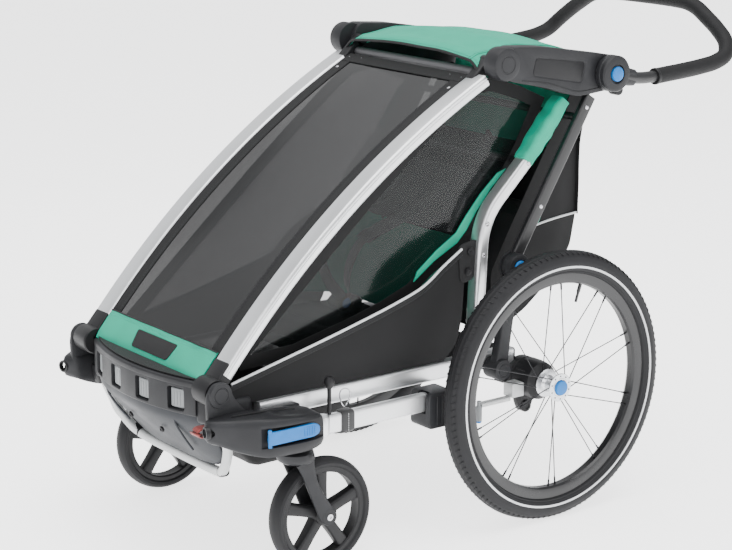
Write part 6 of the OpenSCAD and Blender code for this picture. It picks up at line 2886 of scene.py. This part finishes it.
@dataclass
class Hitch:
    """The stowed towing arm, its holder, strap, pin and ring."""

    frame: TrailerFrame

    def build(self) -> None:
        """Makes the arm and everything on it."""
        shop = Assembly(self.frame)
        at = self.frame.at
        path = [at(0.250, y, 0.253) for y in (-0.4755, -0.42, -0.36, -0.30, -0.255)]
        arm = swept("hitch_tube", path, rounded_box(0.0178, 0.0338, 0.0058, 5))
        eye = turned("eye", at(0.250, -0.478, 0.253), [(0, -0.0168), (0.0138, -0.0168), (0.0148, -0.015),
            (0.0148, 0.015), (0.0138, 0.0168), (0, 0.0168)], 40, (0, 0, 1))
        shop.keep(joined("hitch_arm_tube", [arm, eye]), SILVER, Body.HITCH, ("hitch_arm",), 0.6)
        plug = swept("hitch_plug", [at(0.250, -0.2575, 0.253), at(0.250, -0.2515, 0.253), at(0.250, -0.2500, 0.253)],
            rounded_box(0.0182, 0.0342, 0.006, 4), scale=lambda t: 1.0 - 0.08 * t)
        shop.keep(plug, PLASTIC, Body.HITCH)
        band = []
        for y in (-0.4415, -0.4385, -0.418, -0.415):
            grow = 0.0014 if y in (-0.4415, -0.415) else 0.0030
            band.append([at(0.250, y, 0.253) + Vector((a, 0, b)) for a,
                b in rounded_box(0.0178 + 2 * grow, 0.0338 + 2 * grow, 0.0066, 5)])
        wrap = outwards(surface("hitch_band", band, closed=True, capped=True))
        shop.keep(wrap, STRAP, Body.HITCH)
        shop.stitch("hitch_band_stitches", [at(0.2622, -0.429, 0.239), at(0.2622, -0.429, 0.267)], Body.HITCH, PIPING,
            0.0035, 0.0024, 0.0006)
        pin = turned("hitch_pin", at(0.250, -0.461, 0.253), [(0, 0.014), (0.0035, 0.014), (0.0035, 0.062),
            (0.0052, 0.0635), (0.0082, 0.068), (0.0092, 0.0735), (0.0082, 0.079), (0.0052, 0.083), (0, 0.0842)], 28,
            (0, 0, 1))
        shop.keep(pin, PLASTIC, Body.HITCH)
        ring_path = [at(0.2625, -0.437, 0.2985) + Vector((0.003 * math.sin(a * 2), 0.0105 * math.cos(a),
            0.0155 * math.sin(a))) for a in (math.tau * k / 40 for k in range(40))]
        ring = swept("hitch_ring", ring_path, circle(0.0011, 8), (1, 0, 0), closed=True)
        shop.keep(ring, STEEL, Body.HITCH)
        body = softened(plate("body", self.frame.side_points(rounded_corners([(-0.262, 0.2065), (-0.262, 0.2715),
            (-0.202, 0.2715), (-0.202, 0.2065)], 0.010, 5)), 0.2185, 0.2718), 0.003, 3)
        pocket = softened(plate("pocket", self.frame.side_points([(-0.30, 0.2335), (-0.2500, 0.2335),
            (-0.2500, 0.2725), (-0.30, 0.2725)]), 0.2382, 0.2625), 0.002, 2)
        holder = minus(body, [pocket])
        ribs = [swept("rib", [at(0.2722, y, 0.214), at(0.2722, y, 0.264)], rounded_box(0.0022, 0.0016, 0.0006, 1),
            (1, 0, 0)) for y in (-0.243, -0.232, -0.221)]
        shop.keep(joined("hitch_holder_body", [holder, *ribs]), PLASTIC_SOFT, Body.CHASSIS, ("hitch_holder",), 0.6)


# ---------------------------------------------------------------- studio


@dataclass
class Studio:
    """Camera, pale floor and soft lights."""

    frame: TrailerFrame
    azimuth: float = 53.17
    elevation: float = 13.94
    lens: float = 98.9
    place: tuple[float, float, float] = (2.895, -2.263, 1.322)

    def build(self) -> None:
        """Sets up the whole studio."""
        self.make_camera()
        self.make_floor()
        self.make_lights()

    def make_camera(self) -> None:
        """Long lens at the three-quarter view."""
        data = bpy.data.cameras.new("camera")
        data.lens = self.lens
        data.sensor_width = 36.0
        data.clip_end = 60.0
        camera = bpy.data.objects.new("camera", data)
        camera.location = self.place
        camera.rotation_euler = (math.radians(90 - self.elevation), 0.0, math.radians(self.azimuth))
        bpy.context.scene.collection.objects.link(camera)
        bpy.context.scene.camera = camera

    def make_floor(self) -> None:
        """Large pale floor."""
        half = 14
        floor = surface("studio_floor",
            [[(half * (i / 2 - 1), half * (k / 2 - 1), 0.0) for i in range(5)] for k in range(5)])
        graph = ShaderGraph("pale_floor")
        cloud = graph.noise(0.7, 2.0)
        graph.set(Base_Color=graph.mix(cloud, (0.90, 0.90, 0.90), (0.93, 0.93, 0.93)), Roughness=0.75,
            Specular_IOR_Level=0.25, Emission_Strength=2.2)
        graph.set(Emission_Color=(1.0, 1.0, 1.0))
        floor.data.materials.append(graph.material)
        floor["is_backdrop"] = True

    def lamp(self, name: str, place: Sequence[float], target: Sequence[float], size: tuple[float, float],
            power: float, tint: Colour = (1, 1, 1)) -> bpy.types.Object:
        """A soft rectangular lamp that faces a point.

        Args:
            name: what the new piece is called.
            place: where the lamp hangs.
            target: the point that it faces.
            size: its width and length.
            power: its power in watts.
            tint: the colour of its light.

        Returns:
            The lamp.
        """
        data = bpy.data.lights.new(name, "AREA")
        data.shape = "RECTANGLE"
        data.size, data.size_y = size
        data.energy = power
        data.color = tint
        made = bpy.data.objects.new(name, data)
        made.location = place
        made.rotation_euler = (Vector(target) - Vector(place)).to_track_quat("-Z", "Y").to_euler()
        made.visible_camera = False
        bpy.context.scene.collection.objects.link(made)
        return made

    def make_lights(self) -> None:
        """Big overhead light, two side lights and a bright sky."""
        middle = (0.0, 0.0, 0.5)
        self.lamp("overhead", (0.4, -0.3, 3.8), middle, (3.6, 3.6), 170.0)
        self.lamp("front_left", (3.2, -2.6, 2.6), middle, (1.4, 2.0), 50.0)
        self.lamp("side", (3.4, 1.6, 1.5), middle, (1.2, 1.6), 26.0)
        card = self.lamp("screen_card", (-3.0, -0.27, 1.72), middle, (3.4, 2.4), 10.0)
        card.rotation_euler = Matrix(((0, 0, -1), (-0.897, -0.44, 0), (-0.44, 0.897, 0))).to_euler()
        world = bpy.data.worlds.new("studio")
        bpy.context.scene.world = world
        world.use_nodes = True
        sky = world.node_tree.nodes["Background"]
        sky.inputs["Color"].default_value = (0.97, 0.98, 1.0, 1.0)
        sky.inputs["Strength"].default_value = 0.95


def main() -> None:
    """Builds the studio and the trailer."""
    logging.basicConfig(level=logging.INFO, format="%(relativeCreated)6d %(name)s: %(message)s")
    frame = TrailerFrame()
    Studio(frame).build()
    for side in Side:
        RearWheel(frame, side).build()
        Castor(frame, side).build()
    for group in (Handlebar(frame), Chassis(frame), FrontFrame(frame), Shoulders(frame), RearStruts(frame),
            SeatFrame(frame), Cover(frame), Seat(frame), Hitch(frame)):
        log.info("building %s", type(group).__name__)
        group.build()


if __name__ == "__main__":
    main()
